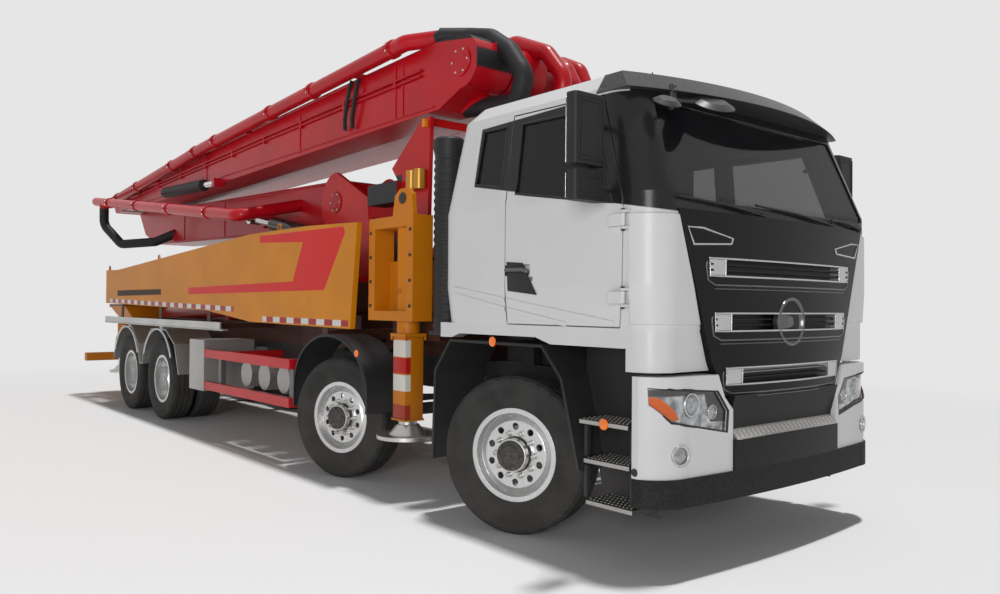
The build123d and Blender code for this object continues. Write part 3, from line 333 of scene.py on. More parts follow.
cradleZones = [  # valve block, beacon and lamp on the cradle
    {**hoseBlack, "along": (-2.5, -1.93), "across": (-0.8, -0.5), "up": (2.4, 2.7), "rough": 0.35},
    {"color": (0.5, 0.25, 0.03), "rough": 0.3, "metal": 0.3, "across": (-0.85, -0.705), "up": (2.5, 2.75),
     "along": (-1.8, -1.5)},
    {"color": (0.75, 0.24, 0.01), "rough": 0.2, "along": (-1.6, -1.5), "across": (-0.76, -0.705),
     "up": (3.04, 3.14)},
]
maskZones = [  # lower bumper and step
    {"color": (0.012, 0.012, 0.012), "rough": 0.6, "coat": 0.0, "up": (0.3, 0.572)},
    {"color": (0.28, 0.28, 0.28), "rough": 0.4, "metal": 0.8, "along": (1.33, 1.465), "up": (1.138, 1.16),
     "wide": (-0.1, 0.6)},
]
subframeZones = [  # edge of the deck and the two pump cylinders
    {"color": (0.48, 0.16, 0.004), "up": (1.556, 1.58), "wide": (0.6, 1.3)},
    {"color": (0.4, 0.02, 0.02), "along": (-9.7, -5.32), "wide": (0.0, 0.34), "up": (1.302, 1.66),
     "rough": 0.35},
]
lampZones = [  # turn signal and dark surrounds inside the headlamp
    {"color": (0.6, 0.1, 0.006), "rough": 0.2,
     "face": [(1.205, 0.985), (1.1, 0.892), (1.035, 0.9), (1.07, 0.95), (1.15, 1.02), (1.2, 1.03)]},
    {"color": (0.03, 0.03, 0.03), "rough": 0.3,
     "face": [(0.6, 0.86), (0.78, 0.87), (0.84, 1.06), (0.66, 1.07)]},
    {"color": (0.05, 0.05, 0.05), "rough": 0.3,
     "face": [(0.66, 1.03), (1.22, 1.03), (1.22, 1.07), (0.66, 1.07)]},
]
legZones = [{"wide": (1.085, 1.3), "across": (-1.3, 1.3), "up": span, "color": color, "rough": 0.3}
            for span, color in (((1.3, 1.42), tapeYellow), ((1.113, 1.246), tapeWhite),
                                ((0.98, 1.105), tapeRed),
                                ((0.84, 0.97), tapeWhite), ((0.6, 0.73), tapeDull))]
looks = {
    "cabPaint": {"color": (0.6, 0.6, 0.605), "rough": 0.36, "coat": 0.1, "mottle": 0.02,
                 "worn": (0.75, 0.75, 0.76), "dust": 0.12, "zones": cabZones},
    "blackPlastic": {"color": (0.02, 0.02, 0.021), "mottle": 0.15, "grain": 220.0, "bump": 0.25,
                     "worn": (0.09, 0.09, 0.09)},
    "maskBlack": {"color": (0.009, 0.009, 0.01), "rough": 0.32, "shine": 0.12, "worn": (0.1, 0.1, 0.1),
                  "dust": 0.1, "zones": maskZones},
    "visorPlastic": {"color": (0.04, 0.04, 0.041), "rough": 0.36, "mottle": 0.2, "cloud": 40.0,
                     "grain": 300.0,
                     "bump": 0.2, "worn": (0.2, 0.2, 0.2)},
    "boomRed": {**red, "zones": boomZones},
    "boomRedPlain": red,
    "turretRed": {**red, "color": (0.55, 0.006, 0.008)},
    "cradleRed": {**red, "color": (0.5, 0.005, 0.006), "zones": cradleZones},
    "liftBlack": {"color": (0.022, 0.021, 0.026), "rough": 0.32, "coat": 0.3, "worn": (0.2, 0.2, 0.22)},
    "panelAmber": {**amber, "zones": panelZones},
    "panelPlain": amber,
    "frameAmber": {**frameTone, "zones": [{"color": (0.4, 0.1, 0.01), "up": (1.62, 1.66), "wide": (1.1, 1.3),
                                           "along": (-1.45, -1.25)}]},
    "legAmber": {**frameTone, "zones": legZones},
    "subframeDark": {"color": (0.055, 0.02, 0.012), "worn": (0.2, 0.12, 0.08), "zones": subframeZones},
    "frameDark": {"color": (0.022, 0.021, 0.021), "worn": (0.12, 0.11, 0.1), "dust": 0.5,
                  "zones": [{"color": (0.34, 0.34, 0.33), "rough": 0.35, "metal": 0.8, "wide": (0.51, 1.25),
                             "along": (-4.6, -3.1), "up": (0.6, 0.93)}]},
    "castDark": {"color": (0.035, 0.034, 0.033), "rough": 0.6, "grain": 40.0, "bump": 0.5, "depth": 0.002,
                 "worn": (0.15, 0.14, 0.13), "dust": 0.5},
    "guardRed": {**red, "color": (0.5, 0.008, 0.013), "dust": 0.15,
                 "zones": [{"color": (0.14, 0.14, 0.14), "rough": 0.4, "metal": 0.6, "up": (0.626, 0.899)}]},
    "aluminium": {"color": (0.4, 0.39, 0.375), "rough": 0.42, "metal": 0.75, "mottle": 0.12,
                  "worn": (0.6, 0.6, 0.6), "dust": 0.3},
    "ledgeAluminium": {"color": (0.55, 0.55, 0.54), "rough": 0.38, "metal": 0.55, "mottle": 0.08,
                       "worn": (0.7, 0.7, 0.7), "dust": 0.1},
    "wheelAlloy": {"color": (0.66, 0.66, 0.66), "rough": 0.28, "metal": 0.85, "mottle": 0.08,
                   "worn": (0.8, 0.8, 0.8), "dust": 0.35, "bump": 0.15},
    "tyreRubber": {"color": (0.03, 0.029, 0.028), "rough": 0.75, "mottle": 0.25, "cloud": 6.0, "grain": 120.0,
                   "bump": 0.35, "depth": 0.002, "wornShare": 0.0, "dust": 0.3,
                   "dustColor": (0.13, 0.12, 0.11)},
    "jackSteel": {"color": (0.55, 0.54, 0.52), "rough": 0.3, "metal": 0.8, "dust": 0.2},
    "chrome": {"color": (0.62, 0.62, 0.62), "rough": 0.12, "metal": 1.0, "bump": 0.02, "wornShare": 0.0,
               "dust": 0.05},
    "satinChrome": {"color": (0.5, 0.5, 0.5), "rough": 0.24, "metal": 0.9, "wornShare": 0.2, "dust": 0.05},
    "darkChrome": {"color": (0.13, 0.13, 0.13), "rough": 0.22, "metal": 0.8, "worn": (0.4, 0.4, 0.4),
                   "dust": 0.05},
    "mirrorFace": {"color": (0.45, 0.46, 0.47), "rough": 0.05, "metal": 1.0, "bump": 0.0, "wornShare": 0.0,
                   "dust": 0.0},
    "windowGlass": {"color": (0.012, 0.013, 0.015), "rough": 0.04, "alpha": 0.45, "shine": 0.4, "mottle": 0.0,
                    "roughVary": 0.02, "bump": 0.0, "edge": 0.002, "wornShare": 0.0, "dust": 0.0},
    "lampGlass": {"color": (0.36, 0.37, 0.38), "rough": 0.12, "metal": 0.6, "coat": 0.8, "mottle": 0.5,
                  "cloud": 18.0, "wornShare": 0.0, "zones": lampZones},
    "clearLens": {"color": (0.3, 0.31, 0.32), "rough": 0.06, "metal": 0.3, "coat": 1.0, "mottle": 0.3,
                  "cloud": 40.0, "wornShare": 0.0},
    "orangeLens": {**lens, "color": (0.75, 0.16, 0.006), "glow": (0.12, 0.02, 0.0)},
    "redLens": {**lens, "color": (0.45, 0.008, 0.008)},
    "seatFabric": {"color": (0.022, 0.022, 0.024), "rough": 0.8, "grain": 250.0, "bump": 0.4,
                   "wornShare": 0.0,
                   "dust": 0.0},
    "hoseBlack": {"color": (0.016, 0.015, 0.016), "dust": 0.1, "worn": (0.08, 0.08, 0.08)},
}
finishes = {name: finish(name, look) for name, look in looks.items()}
nodeFinishes = {  # node names by how they start
    "cab_shell": "cabPaint", "door_glass": "windowGlass", "door_": "cabPaint", "bumper": "cabPaint",
    "cab_glass": "windowGlass", "cab_interior": "seatFabric", "front_mask": "maskBlack",
    "sun_visor": "visorPlastic", "front_steps": "blackPlastic", "mirror_": "blackPlastic",
    "headlamps": "lampGlass", "boom_cradle": "cradleRed", "boom_": "boomRed", "turret": "turretRed",
    "lift_cylinder": "liftBlack", "lift_rods": "chrome", "side_panels": "panelAmber",
    "outrigger_": "frameAmber",
    "pump_subframe": "subframeDark", "chassis_frame": "frameDark", "axles": "castDark",
    "knuckle_": "castDark",
    "engine_block": "castDark", "side_guards": "guardRed", "aluminium_trim": "aluminium",
    "rim_": "wheelAlloy",
    "tyre_": "tyreRubber", "jack_": "jackSteel", "hopper_grate": "frameDark", "hopper": "frameAmber",
}
for name, node in nodes.items():
    found = next(value for start, value in nodeFinishes.items() if name.startswith(start))
    node.data.materials.clear()
    node.data.materials.append(finishes[found])
print("finishes given to the CAD nodes")


def place(shape, finishName, name, body="chassis", bevel=0.0, segments=2):
    # gives a bmesh to a new object that rides on a body
    if bevel:
        sharp = [e for e in shape.edges if e.is_manifold and e.calc_face_angle(0) > radians(30)]
        bmesh.ops.bevel(shape, geom=sharp, offset=bevel, offset_type="OFFSET", affect="EDGES",
                        segments=segments,
                        profile=0.5, material=-1, clamp_overlap=True)
    mesh = bpy.data.meshes.new(name)
    shape.to_mesh(mesh)
    shape.free()
    mesh.materials.append(finishes[finishName])
    mesh.shade_smooth()
    mesh.set_sharp_from_angle(angle=radians(32))
    made = bpy.data.objects.new(name, mesh)
    bpy.context.scene.collection.objects.link(made)
    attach(made, body)
    return made


def at(x, y, z):  # a point by its place along the truck, across and up
    return Vector((axleOne + x, y, z))


def addBlock(shape, low, high):
    low, high = Vector(low), Vector(high)
    scale = Matrix.Diagonal((*(high - low), 1))
    bmesh.ops.create_cube(shape, size=1, matrix=Matrix.Translation((low + high) / 2) @ scale)


def addBar(shape, along, across, up, hand=1):  # a block by its spans; a hand of -1 puts it on the right
    low, high = zip(along, sorted(hand * y for y in across), up)
    addBlock(shape, at(*low), at(*high))


def addRod(shape, start, end, radius, sides=16, endRadius=None):
    start, end = Vector(start), Vector(end)
    turn = (end - start).to_track_quat("Z", "Y").to_matrix().to_4x4()
    bmesh.ops.create_cone(shape, cap_ends=True, segments=sides, radius1=radius,
                          radius2=radius if endRadius is None else endRadius, depth=(end - start).length,
                          matrix=Matrix.Translation((start + end) / 2) @ turn)


def addLathe(shape, profile, centre, axis, steps=48):
    # a profile of (along the axis, radius) turned round the axis
    old = set(shape.verts)
    verts = [shape.verts.new((x, 0, r)) for x, r in profile]
    edges = [shape.edges.new(pair) for pair in zip(verts, verts[1:])]
    bmesh.ops.spin(shape, geom=verts + edges, cent=(0, 0, 0), axis=(1, 0, 0), dvec=(0, 0, 0), angle=2 * pi,
                   steps=steps, use_merge=True)
    bmesh.ops.remove_doubles(shape, verts=[v for v in shape.verts if v not in old], dist=1e-5)
    made = [v for v in shape.verts if v not in old]
    turn = Vector(axis).to_track_quat("X", "Z").to_matrix().to_4x4()
    bmesh.ops.transform(shape, matrix=Matrix.Translation(centre) @ turn, verts=made)
    return made


def addPlate(shape, outline, push):
    # a flat outline of points pushed along a vector
    face = shape.faces.new([shape.verts.new(point) for point in outline])
    made = bmesh.ops.extrude_face_region(shape, geom=[face], use_keep_orig=True)
    bmesh.ops.translate(shape, vec=push, verts=[v for v in made["geom"] if isinstance(v, bmesh.types.BMVert)])
    bmesh.ops.recalc_face_normals(shape, faces=shape.faces)


def joinRings(shape, rings, around=False):
    # faces between rings of verts; around joins the last ring to the first, otherwise both ends are closed
    for first, second in (loopPairs(rings) if around else zip(rings, rings[1:])):
        for (a, b), (c, d) in zip(loopPairs(first), loopPairs(second)):
            shape.faces.new((a, b, d, c))
    if not around:
        shape.faces.new(list(reversed(rings[0])))
        shape.faces.new(rings[-1])


def addTube(shape, points, radius, sides=10, closed=False):
    # a round bar along points, with one ring of verts at each
    points = [Vector(point) for point in points]
    last = len(points) - 1
    turns = [2 * pi * number / sides for number in range(sides)]
    rings, side = [], None
    for index, point in enumerate(points):
        steps = []
        if closed or index:
            steps.append((point - points[index - 1]).normalized())
        if closed or index < last:
            steps.append((points[0 if index == last else index + 1] - point).normalized())
        run = sum(steps, Vector()).normalized()
        side = run.orthogonal() if side is None else side - run * side.dot(run)
        side.normalize()
        up = run.cross(side)
        rings.append([shape.verts.new(point + (side * cos(turn) + up * sin(turn)) * radius)
                      for turn in turns])
    joinRings(shape, rings, closed)


def addSkin(shape, surface, across, heights, front, back):
    # a thin plate that follows a surface, between two offsets from it
    sheets = [[[shape.verts.new(surface(y, z, out)) for y in across] for z in heights]
              for out in (front, back)]
    last, end = len(heights) - 1, len(across) - 1
    for sheet in sheets:
        for low, high in zip(sheet, sheet[1:]):
            for column in range(end):
                shape.faces.new((low[column], low[column + 1], high[column + 1], high[column]))
    rim = [(0, c) for c in range(end)] + [(r, end) for r in range(last)]
    rim += [(last, c) for c in range(end, 0, -1)] + [(r, 0) for r in range(last, 0, -1)]
    for (row, column), (nextRow, nextColumn) in loopPairs(rim):
        shape.faces.new((sheets[0][row][column], sheets[0][nextRow][nextColumn],
                         sheets[1][nextRow][nextColumn], sheets[1][row][column]))


def spread(low, high, count):
    return [low + (high - low) * number / (count - 1) for number in range(count)]


def ringOf(count, radius, start=0.0):  # pairs of places round a circle
    turns = [2 * pi * (number + start) / count for number in range(count)]
    return [(radius * cos(turn), radius * sin(turn)) for turn in turns]


def cutSides(outline, parts):  # a closed outline's points, with its sides cut into equal parts
    return [(x1 + (x2 - x1) * part / parts, z1 + (z2 - z1) * part / parts)
            for (x1, z1), (x2, z2) in loopPairs(list(outline)) for part in range(parts)]


def bothHands(*makers):
    for make in makers:
        for handName, hand in handSigns.items():
            make(handName, hand)


def turnOut(shape):
    bmesh.ops.remove_doubles(shape, verts=shape.verts, dist=1e-5)
    bmesh.ops.recalc_face_normals(shape, faces=shape.faces)


wheels = {
    "axles": (0.0, -2.3, -6.9, -8.25), "radius": 0.53, "trackHalf": 1.05, "kingpinHalf": 0.83,
    "steer": (21.6, 17.1), "dualPitch": 0.345
}
tyreSet = {
    "steps": 120, "crown": 0.5295, "grooveDepth": 0.013, "blockDepth": 0.01,
    "grooves": (-0.062, 0.0, 0.062), "grooveHalf": (0.0075, 0.0045), "treadFrom": 0.519,
    "wallFacing": 0.85, "outerFrom": 0.068,
    "side": ((-0.112, 0.2955), (-0.118, 0.318), (-0.132, 0.345), (-0.1455, 0.39), (-0.1495, 0.405),
             (-0.1495, 0.418), (-0.147, 0.424), (-0.1475, 0.455), (-0.143, 0.48), (-0.1445, 0.486),
             (-0.134, 0.512), (-0.11, 0.5292))
}
hubSet = {
    "single": {"face": 0.086, "cap": 0.16, "capRadius": 0.1},
    "dual": {"face": -0.1525, "cap": 0.0, "capRadius": 0.085},
    "nuts": 10, "nutRing": 0.145,
    "nutParts": ((0.0005, 0.008, 0.021, 16), (0.008, 0.032, 0.0165, 6), (0.032, 0.048, 0.009, 10)),
    "bolts": 8, "boltShare": 0.82, "boltRadius": 0.0065
}


def wheelMatrix(number, hand):
    steer = radians(wheels["steer"][number]) if number < 2 else 0.0
    outward = Vector((-hand * sin(steer), hand * cos(steer), 0))
    pivot = wheels["kingpinHalf"] if number < 2 else 0.0
    centre = at(wheels["axles"][number], hand * pivot, wheels["radius"])
    centre += outward * (wheels["trackHalf"] - pivot)
    up = Vector((0, 0, 1))
    return Matrix.Translation(centre) @ Matrix((outward, up.cross(outward), up)).transposed().to_4x4()


def addTyre(shape, shift, blocks):
    # a carcass with three grooves; blocks gives the drive axles' coarser tread
    side, top = list(tyreSet["side"]), tyreSet["crown"]
    wide, narrow = tyreSet["grooveHalf"]
    deep = top - tyreSet["grooveDepth"]
    crown = []
    for middle in tyreSet["grooves"]:
        crown += [(middle - wide, top), (middle - narrow, deep), (middle + narrow, deep),
                  (middle + wide, top)]
    profile = side + crown + [(-x, r) for x, r in reversed(side)]
    verts = addLathe(shape, [(x + shift, r) for x, r in profile], (0, 0, 0), (1, 0, 0), tyreSet["steps"])
    edges = {e for v in verts for e in v.link_edges}
    bmesh.ops.bridge_loops(shape, edges=[e for e in edges if e.is_boundary])
    faces = list({f for v in verts for f in v.link_faces})
    bmesh.ops.recalc_face_normals(shape, faces=faces)
    cuts = []
    for face in faces:
        middle = face.calc_center_median()
        if middle.yz.length < tyreSet["treadFrom"] or abs(face.normal.x) > tyreSet["wallFacing"]:
            continue
        turn = middle.yz.angle_signed(Vector((0, 1))) % (2 * pi)
        number = int(turn * tyreSet["steps"] / (2 * pi))
        outer = abs(middle.x - shift) > tyreSet["outerFrom"]
        every = 3 if blocks else (4 if outer else 5)
        if (number + (outer and blocks)) % every == 0:
            cuts.append(face)
    made = bmesh.ops.extrude_face_region(shape, geom=cuts)
    for vert in (v for v in made["geom"] if isinstance(v, bmesh.types.BMVert)):
        vert.co.yz *= 1 - tyreSet["blockDepth"] / vert.co.yz.length


def makeWheel(number, handName, hand):
    seat = wheelMatrix(number, hand)
    name, body, dual = f"{number + 1}_{handName}", f"wheel_{number + 1}_{handName}", number > 1
    tyre = bmesh.new()
    for shift in ((0.0, -wheels["dualPitch"]) if dual else (0.0,)):
        addTyre(tyre, shift, dual)
    bmesh.ops.transform(tyre, matrix=seat, verts=tyre.verts)
    made = place(tyre, "tyreRubber", f"treaded_tyre_{name}", body)
    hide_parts(f"tyre_{name}")

    hub = hubSet["dual" if dual else "single"]
    face, cap, wide = hub["face"], hub["cap"], hub["capRadius"]
    nuts = bmesh.new()
    for z, y in ringOf(hubSet["nuts"], hubSet["nutRing"], 0.5):
        for start, end, radius, sides in hubSet["nutParts"]:
            addRod(nuts, (face + start, y, z), (face + end, y, z), radius, sides)
    bmesh.ops.transform(nuts, matrix=seat, verts=nuts.verts)
    place(nuts, "jackSteel", f"wheel_nuts_{name}", body, 0.0012, 1)

    shape = bmesh.new()
    addLathe(shape, [(face + 0.0005, wide + 0.022), (face + 0.012, wide + 0.02), (cap - 0.03, wide + 0.006),
                     (cap + 0.001, wide), (cap + 0.004, wide * 0.9), (cap + 0.002, wide * 0.72),
                     (cap + 0.01, wide * 0.66), (cap + 0.012, wide * 0.3), (cap + 0.009, wide * 0.24),
                     (cap + 0.009, 0.0)], (0, 0, 0), (1, 0, 0), 60)
    for z, y in ringOf(hubSet["bolts"], wide * hubSet["boltShare"]):
        addRod(shape, (cap, y, z), (cap + 0.01, y, z), hubSet["boltRadius"], 6)
    turnOut(shape)
    bmesh.ops.transform(shape, matrix=seat, verts=shape.verts)
    place(shape, "castDark", f"hub_cap_{name}", body)


for number in range(len(wheels["axles"])):
    for handName, hand in handSigns.items():
        makeWheel(number, handName, hand)
print("wheels done")

mask = {
    "sections": ((1.012, 1.492, 0.65), (1.21, 1.49, 0.755), (2.085, 1.475, 1.05)), "sweep": 0.06,
    "grilles": ((1.712, 1.815, 0.8), (1.39, 1.495, 0.745), (1.073, 1.172, 0.64)), "frame": 0.0065,
    "endWide": 0.135, "drop": 0.052, "badge": 1.443, "lip": 0.006, "lowerLip": (0.022, 0.0035),
    "vent": ((-0.985, 1.985), (-0.86, 1.984), (-0.6, 1.935), (-0.615, 1.903), (-0.93, 1.888)),
    "ventFrame": 0.0075,
    "wipers": (((-0.22, 2.098), (-1.06, 2.15)), ((0.62, 2.098), (-0.3, 2.16)), ((1.0, 2.098), (0.6, 2.135)))
}
bumper = {"nose": 1.485, "sweep": 0.05, "flat": 0.98, "corner": 0.26, "rim": 0.0075, "lampDepth": 0.02,
          "lamp": ((0.65, 0.8), (1.105, 0.885), (1.208, 0.985), (1.212, 1.08), (0.735, 1.045), (0.64, 0.925)),
          "projector": (0.935, 0.975), "inner": (0.765, 0.925), "fog": (1.05, 0.7), "fogTilt": 0.24,
          "tread": 1.452, "plug": (1.262, 1.2402, 0.605)}


def maskPoint(y, z, out=0.0):
    sections = mask["sections"][:2] if z < mask["sections"][1][0] else mask["sections"][1:]
    (low, lowNose, narrow), (high, highNose, wide) = sections
    share = (z - low) / (high - low)
    half = narrow + share * (wide - narrow)
    nose = lowNose + share * (highNose - lowNose)
    return at(nose - mask["sweep"] * (y / half) ** 2 + out, y, z)


def bumperPoint(y, z, out=0.0):
    back = bumper["sweep"] * min(1.0, abs(y) / bumper["flat"]) ** 2
    turn = max(0.0, (abs(y) - bumper["flat"]) / bumper["corner"])
    return at(bumper["nose"] + out - back + 0.0615 * turn - 0.2115 * turn ** 2, y, z)


def screenPoint(y, z, out):
    return at(1.412 + out - 0.385 * max(0.0, z - 2.14), y, z)


def makeGrilles():
    frames, lines = bmesh.new(), bmesh.new()
    for low, high, half in mask["grilles"]:
        across = spread(-half, half, 17)
        loop = [maskPoint(y, low, 0.002) for y in across]
        loop += [maskPoint(y, high, 0.002) for y in reversed(across)]
        addTube(frames, loop, mask["frame"], 8, True)
        for hand in (-1, 1):
            ys = spread(hand * (half - mask["endWide"]), hand * (half + 0.004), 5)
            addSkin(frames, maskPoint, ys, spread(low, high, 3), 0.0045, -0.055)
            addTube(frames, [maskPoint(ys[0], z, 0.002) for z in spread(low, high, 3)], mask["frame"], 8)
        drop = low - mask["drop"]
        ends = [(half + 0.022, high - 0.02), (half + 0.026, (low + high) / 2), (half + 0.01, low - 0.025),
                (half - 0.05, drop)]
        path = [(-y, z) for y, z in ends] + [(y, drop) for y in across[2:-2]] + ends[::-1]
        path = [maskPoint(*point) for point in path]
        addTube(lines, path, mask["lip"], 8)
        lower, radius = mask["lowerLip"]
        addTube(lines, [point - Vector((0, 0, lower)) for point in path[3:-3]], radius, 8)
    for hand in (-1, 1):
        addTube(frames, [maskPoint(-hand * y, z, 0.001) for y, z in mask["vent"]], mask["ventFrame"], 8, True)
    place(frames, "satinChrome", "grille_frames")
    place(lines, "darkChrome", "grille_lip_lines")

    shape = bmesh.new()
    addLathe(shape, [(-0.004, 0.0), (-0.002, 0.03), (-0.012, 0.045), (-0.016, 0.118), (-0.006, 0.128),
                     (0.006, 0.134), (0.0095, 0.143), (0.006, 0.152), (-0.008, 0.158), (-0.035, 0.158),
                     (-0.035, 0.0)], maskPoint(0, mask["badge"]), (1, 0, 0), 72)
    turnOut(shape)
    place(shape, "darkChrome", "ringed_disc")


def makeWipers():
    shape = bmesh.new()
    for pivot, tip in mask["wipers"]:
        first, last = Vector(tip), Vector(pivot)
        middle = (first + last) / 2 + Vector((0, 0.012))
        addRod(shape, screenPoint(*pivot, -0.03), screenPoint(*pivot, 0.022), 0.02, 14)
        addTube(shape, [screenPoint(*last, 0.018), screenPoint(*middle, 0.024), screenPoint(*first, 0.016)],
                0.0075, 8)
        for share, high in ((0.0, 0.004), (0.5, 0.016)):
            ends = [first.lerp(last, part) + Vector((0, high)) for part in (share, share + 0.46)]
            addTube(shape, [screenPoint(*end, 0.01) for end in ends], 0.0055, 8)
    place(shape, "blackPlastic", "wipers")


def makeHeadlamps():
    rims, lenses, rings = bmesh.new(), bmesh.new(), bmesh.new()
    for hand in (-1, 1):
        loop = [bumperPoint(hand * y, z, -0.006) for y, z in cutSides(bumper["lamp"], 5)]
        addTube(rims, loop, bumper["rim"], 8, True)
        outer, inner, fog = ((hand * y, z) for y, z in (bumper["projector"], bumper["inner"], bumper["fog"]))
        seat = bumperPoint(*outer, -bumper["lampDepth"])
        addLathe(rings, [(-0.004, 0.074), (0.005, 0.072), (0.009, 0.064), (0.004, 0.058), (-0.004, 0.056)],
                 seat, (1, 0, 0), 48)
        addLathe(lenses, [(0.003, 0.053), (0.012, 0.044), (0.018, 0.028), (0.0195, 0.0)], seat, (1, 0, 0), 40)
        seat = bumperPoint(*inner, -bumper["lampDepth"])
        addLathe(rings, [(-0.004, 0.044), (0.005, 0.042), (0.006, 0.036), (-0.003, 0.034)], seat,
                 (1, 0, 0), 36)
        addLathe(lenses, [(0.001, 0.033), (0.006, 0.02), (0.008, 0.0)], seat, (1, 0, 0), 32)
        seat = bumperPoint(*fog, -0.002)
        tilt = (cos(bumper["fogTilt"]), hand * sin(bumper["fogTilt"]), 0)
        addLathe(rings, [(-0.012, 0.06), (0.004, 0.063), (0.006, 0.057), (0.002, 0.047), (-0.012, 0.045)],
                 seat, tilt, 48)
        addLathe(lenses, [(-0.01, 0.045), (0.001, 0.03), (0.004, 0.0)], seat, tilt, 36)
    for shape in (rims, lenses, rings):
        turnOut(shape)
    place(rims, "blackPlastic", "lamp_surrounds")
    place(rings, "satinChrome", "lamp_rings")
    place(lenses, "clearLens", "lamp_lenses")


def makeBumperFittings():
    shape = bmesh.new()
    tread = bumper["tread"]
    for y in spread(-0.555, 0.555, 25):
        addRod(shape, at(tread - 0.012, y, 0.8), at(tread + 0.026, y, 0.76), 0.007, 8)
    corners = ((tread - 0.0215, 0.81), (tread + 0.034, 0.7505), (tread - 0.0215, 0.7505))
    addPlate(shape, [at(x, -0.575, z) for x, z in corners], (0, 1.15, 0))
    place(shape, "aluminium", "bumper_step_tread", "chassis", 0.0012, 1)

    shape = bmesh.new()
    x, y, z = bumper["plug"]
    for hand in (-1, 1):
        addLathe(shape, [(0.0, 0.0), (0.004, 0.012), (0.004, 0.02), (0.0, 0.023)], at(x, hand * y, z),
                 (0, hand, 0), 28)
    turnOut(shape)
    place(shape, "blackPlastic", "bumper_plugs")


makeGrilles()
makeWipers()
makeHeadlamps()
makeBumperFittings()
print("front done")

cabSet = {
    "half": 1.25, "skin": 1.2505, "ridge": (0.034, 0.006),
    "sections": ((1.4, 1.225), (1.65, 1.25), (2.18, 1.25), (2.83, 1.17), (2.93, 1.08)),
    "sideLines": (((-0.4, 1.651), (0.138, 1.57)), ((-0.4, 1.607), (0.138, 1.508))),
    "doorLines": (((0.156, 1.567), (1.09, 1.432)), ((0.156, 1.505), (0.7, 1.42))),
    "pull": ((0.168, 1.817), (0.327, 1.805), (0.462, 1.598), (0.181, 1.626)),
    "handle": ((0.175, 0.0, 1.76), (0.175, 0.018, 1.762), (0.33, 0.018, 1.762), (0.37, 0.012, 1.75),
               (0.375, 0.0, 1.748)), "lock": (0.405, 1.7), "sealRadius": 0.009,
    "window": ((0.235, 2.26), (1.095, 2.125), (0.89, 2.715), (0.235, 2.725)),
    "rear": ((-0.2, 2.365), (0.085, 2.32), (0.085, 2.735), (-0.165, 2.735)), "hinges": (1.58, 2.02),
    "hingePlace": (1.19, 1.268), "hingeHalf": 0.054
}
mirrorSet = {"glasses": ((2.335, 2.705), (2.135, 2.275)), "glass": (1.0065, 1.0095), "across": (1.334, 1.546),
             "cases": ((2.345, 2.695), (2.14, 2.27)), "back": 1.1005, "middle": 1.44, "ribs": (0.1, 0.078),
             "ribRadius": 0.0035}


def cabSide(x, z, hand, out=0.0):  # a point on the cab's side wall
    for (low, first), (high, second) in zip(cabSet["sections"], cabSet["sections"][1:]):
        if z <= high:
            break
    half = first + (second - first) * (z - low) / (high - low)
    return at(x, hand * (half + out), z)


def addRidge(shape, hand, points):
    # a low moulding along the cab's side
    tall, proud = cabSet["ridge"]
    rows = [(-tall / 2, -0.004), (-tall / 2, proud * 0.6), (-tall * 0.2, proud), (tall * 0.35, proud * 0.8),
            (tall / 2, -0.004)]
    joinRings(shape, [[shape.verts.new(cabSide(x, z + up, hand, out)) for up, out in rows]
                      for x, z in points])


def makeMouldings(handName, hand, door):
    for kind, body in (("side", "chassis"), ("door", door)):
        shape = bmesh.new()
        for points in cabSet[f"{kind}Lines"]:
            addRidge(shape, hand, points)
        turnOut(shape)
        place(shape, "cabPaint", f"{kind}_moulding_{handName}", body)


def makeDoor(handName, hand, door):
    for outline, name, body in (("window", "door_window_seal", door),
                                ("rear", "rear_window_seal", "chassis")):
        shape = bmesh.new()
        loop = [cabSide(x, z, hand, -0.002) for x, z in cutSides(cabSet[outline], 6)]
        addTube(shape, loop, cabSet["sealRadius"], 8, True)
        place(shape, "blackPlastic", f"{name}_{handName}", body)

    shape = bmesh.new()
    addPlate(shape, [at(x, hand * cabSet["skin"], z) for x, z in cabSet["pull"]], (0, hand * 0.006, 0))
    place(shape, "blackPlastic", f"door_pull_plate_{handName}", door, 0.002, 2)
    shape = bmesh.new()
    y = cabSet["half"] - 0.004
    addTube(shape, [at(x, hand * (y + out), z) for x, out, z in cabSet["handle"]], 0.014, 12)
    x, z = cabSet["lock"]
    addLathe(shape, [(0.0, 0.016), (0.008, 0.015), (0.009, 0.0)], at(x, hand * (y + 0.001), z), (0, hand, 0),
             24)
    turnOut(shape)
    place(shape, "darkChrome", f"door_handle_{handName}", door)


def makeMirror(handName, hand, door):
    shape = bmesh.new()
    for up in mirrorSet["glasses"]:
        addBar(shape, mirrorSet["glass"], mirrorSet["across"], up, hand)
    place(shape, "mirrorFace", f"mirror_glass_{handName}", door, 0.001, 1)
    shape = bmesh.new()
    middle = hand * mirrorSet["middle"]
    for low, high in mirrorSet["cases"]:
        for wide in mirrorSet["ribs"]:
            bottom, top = low + 0.1 - wide, high - 0.1 + wide
            corners = ((-wide, bottom), (wide, bottom), (wide, top), (-wide, top))
            addTube(shape, [at(mirrorSet["back"], middle + y, z) for y, z in corners],
                    mirrorSet["ribRadius"], 6, True)
    place(shape, "blackPlastic", f"mirror_case_ribs_{handName}", door)


def makeHinges(handName, hand, door):
    shape = bmesh.new()
    x, y = cabSet["hingePlace"]
    for level in cabSet["hinges"]:
        for side in (-1, 1):
            addLathe(shape, [(0.0, 0.0), (0.0, 0.0135), (0.006, 0.0125), (0.01, 0.008), (0.0105, 0.0)],
                     at(x, hand * y, level + side * cabSet["hingeHalf"]), (0, 0, side), 20)
    turnOut(shape)
    place(shape, "blackPlastic", f"hinge_caps_{handName}")


for handName, hand in handSigns.items():
    for make in (makeMouldings, makeDoor, makeMirror, makeHinges):
        make(handName, hand, f"door_{handName}")
print("cab sides done")

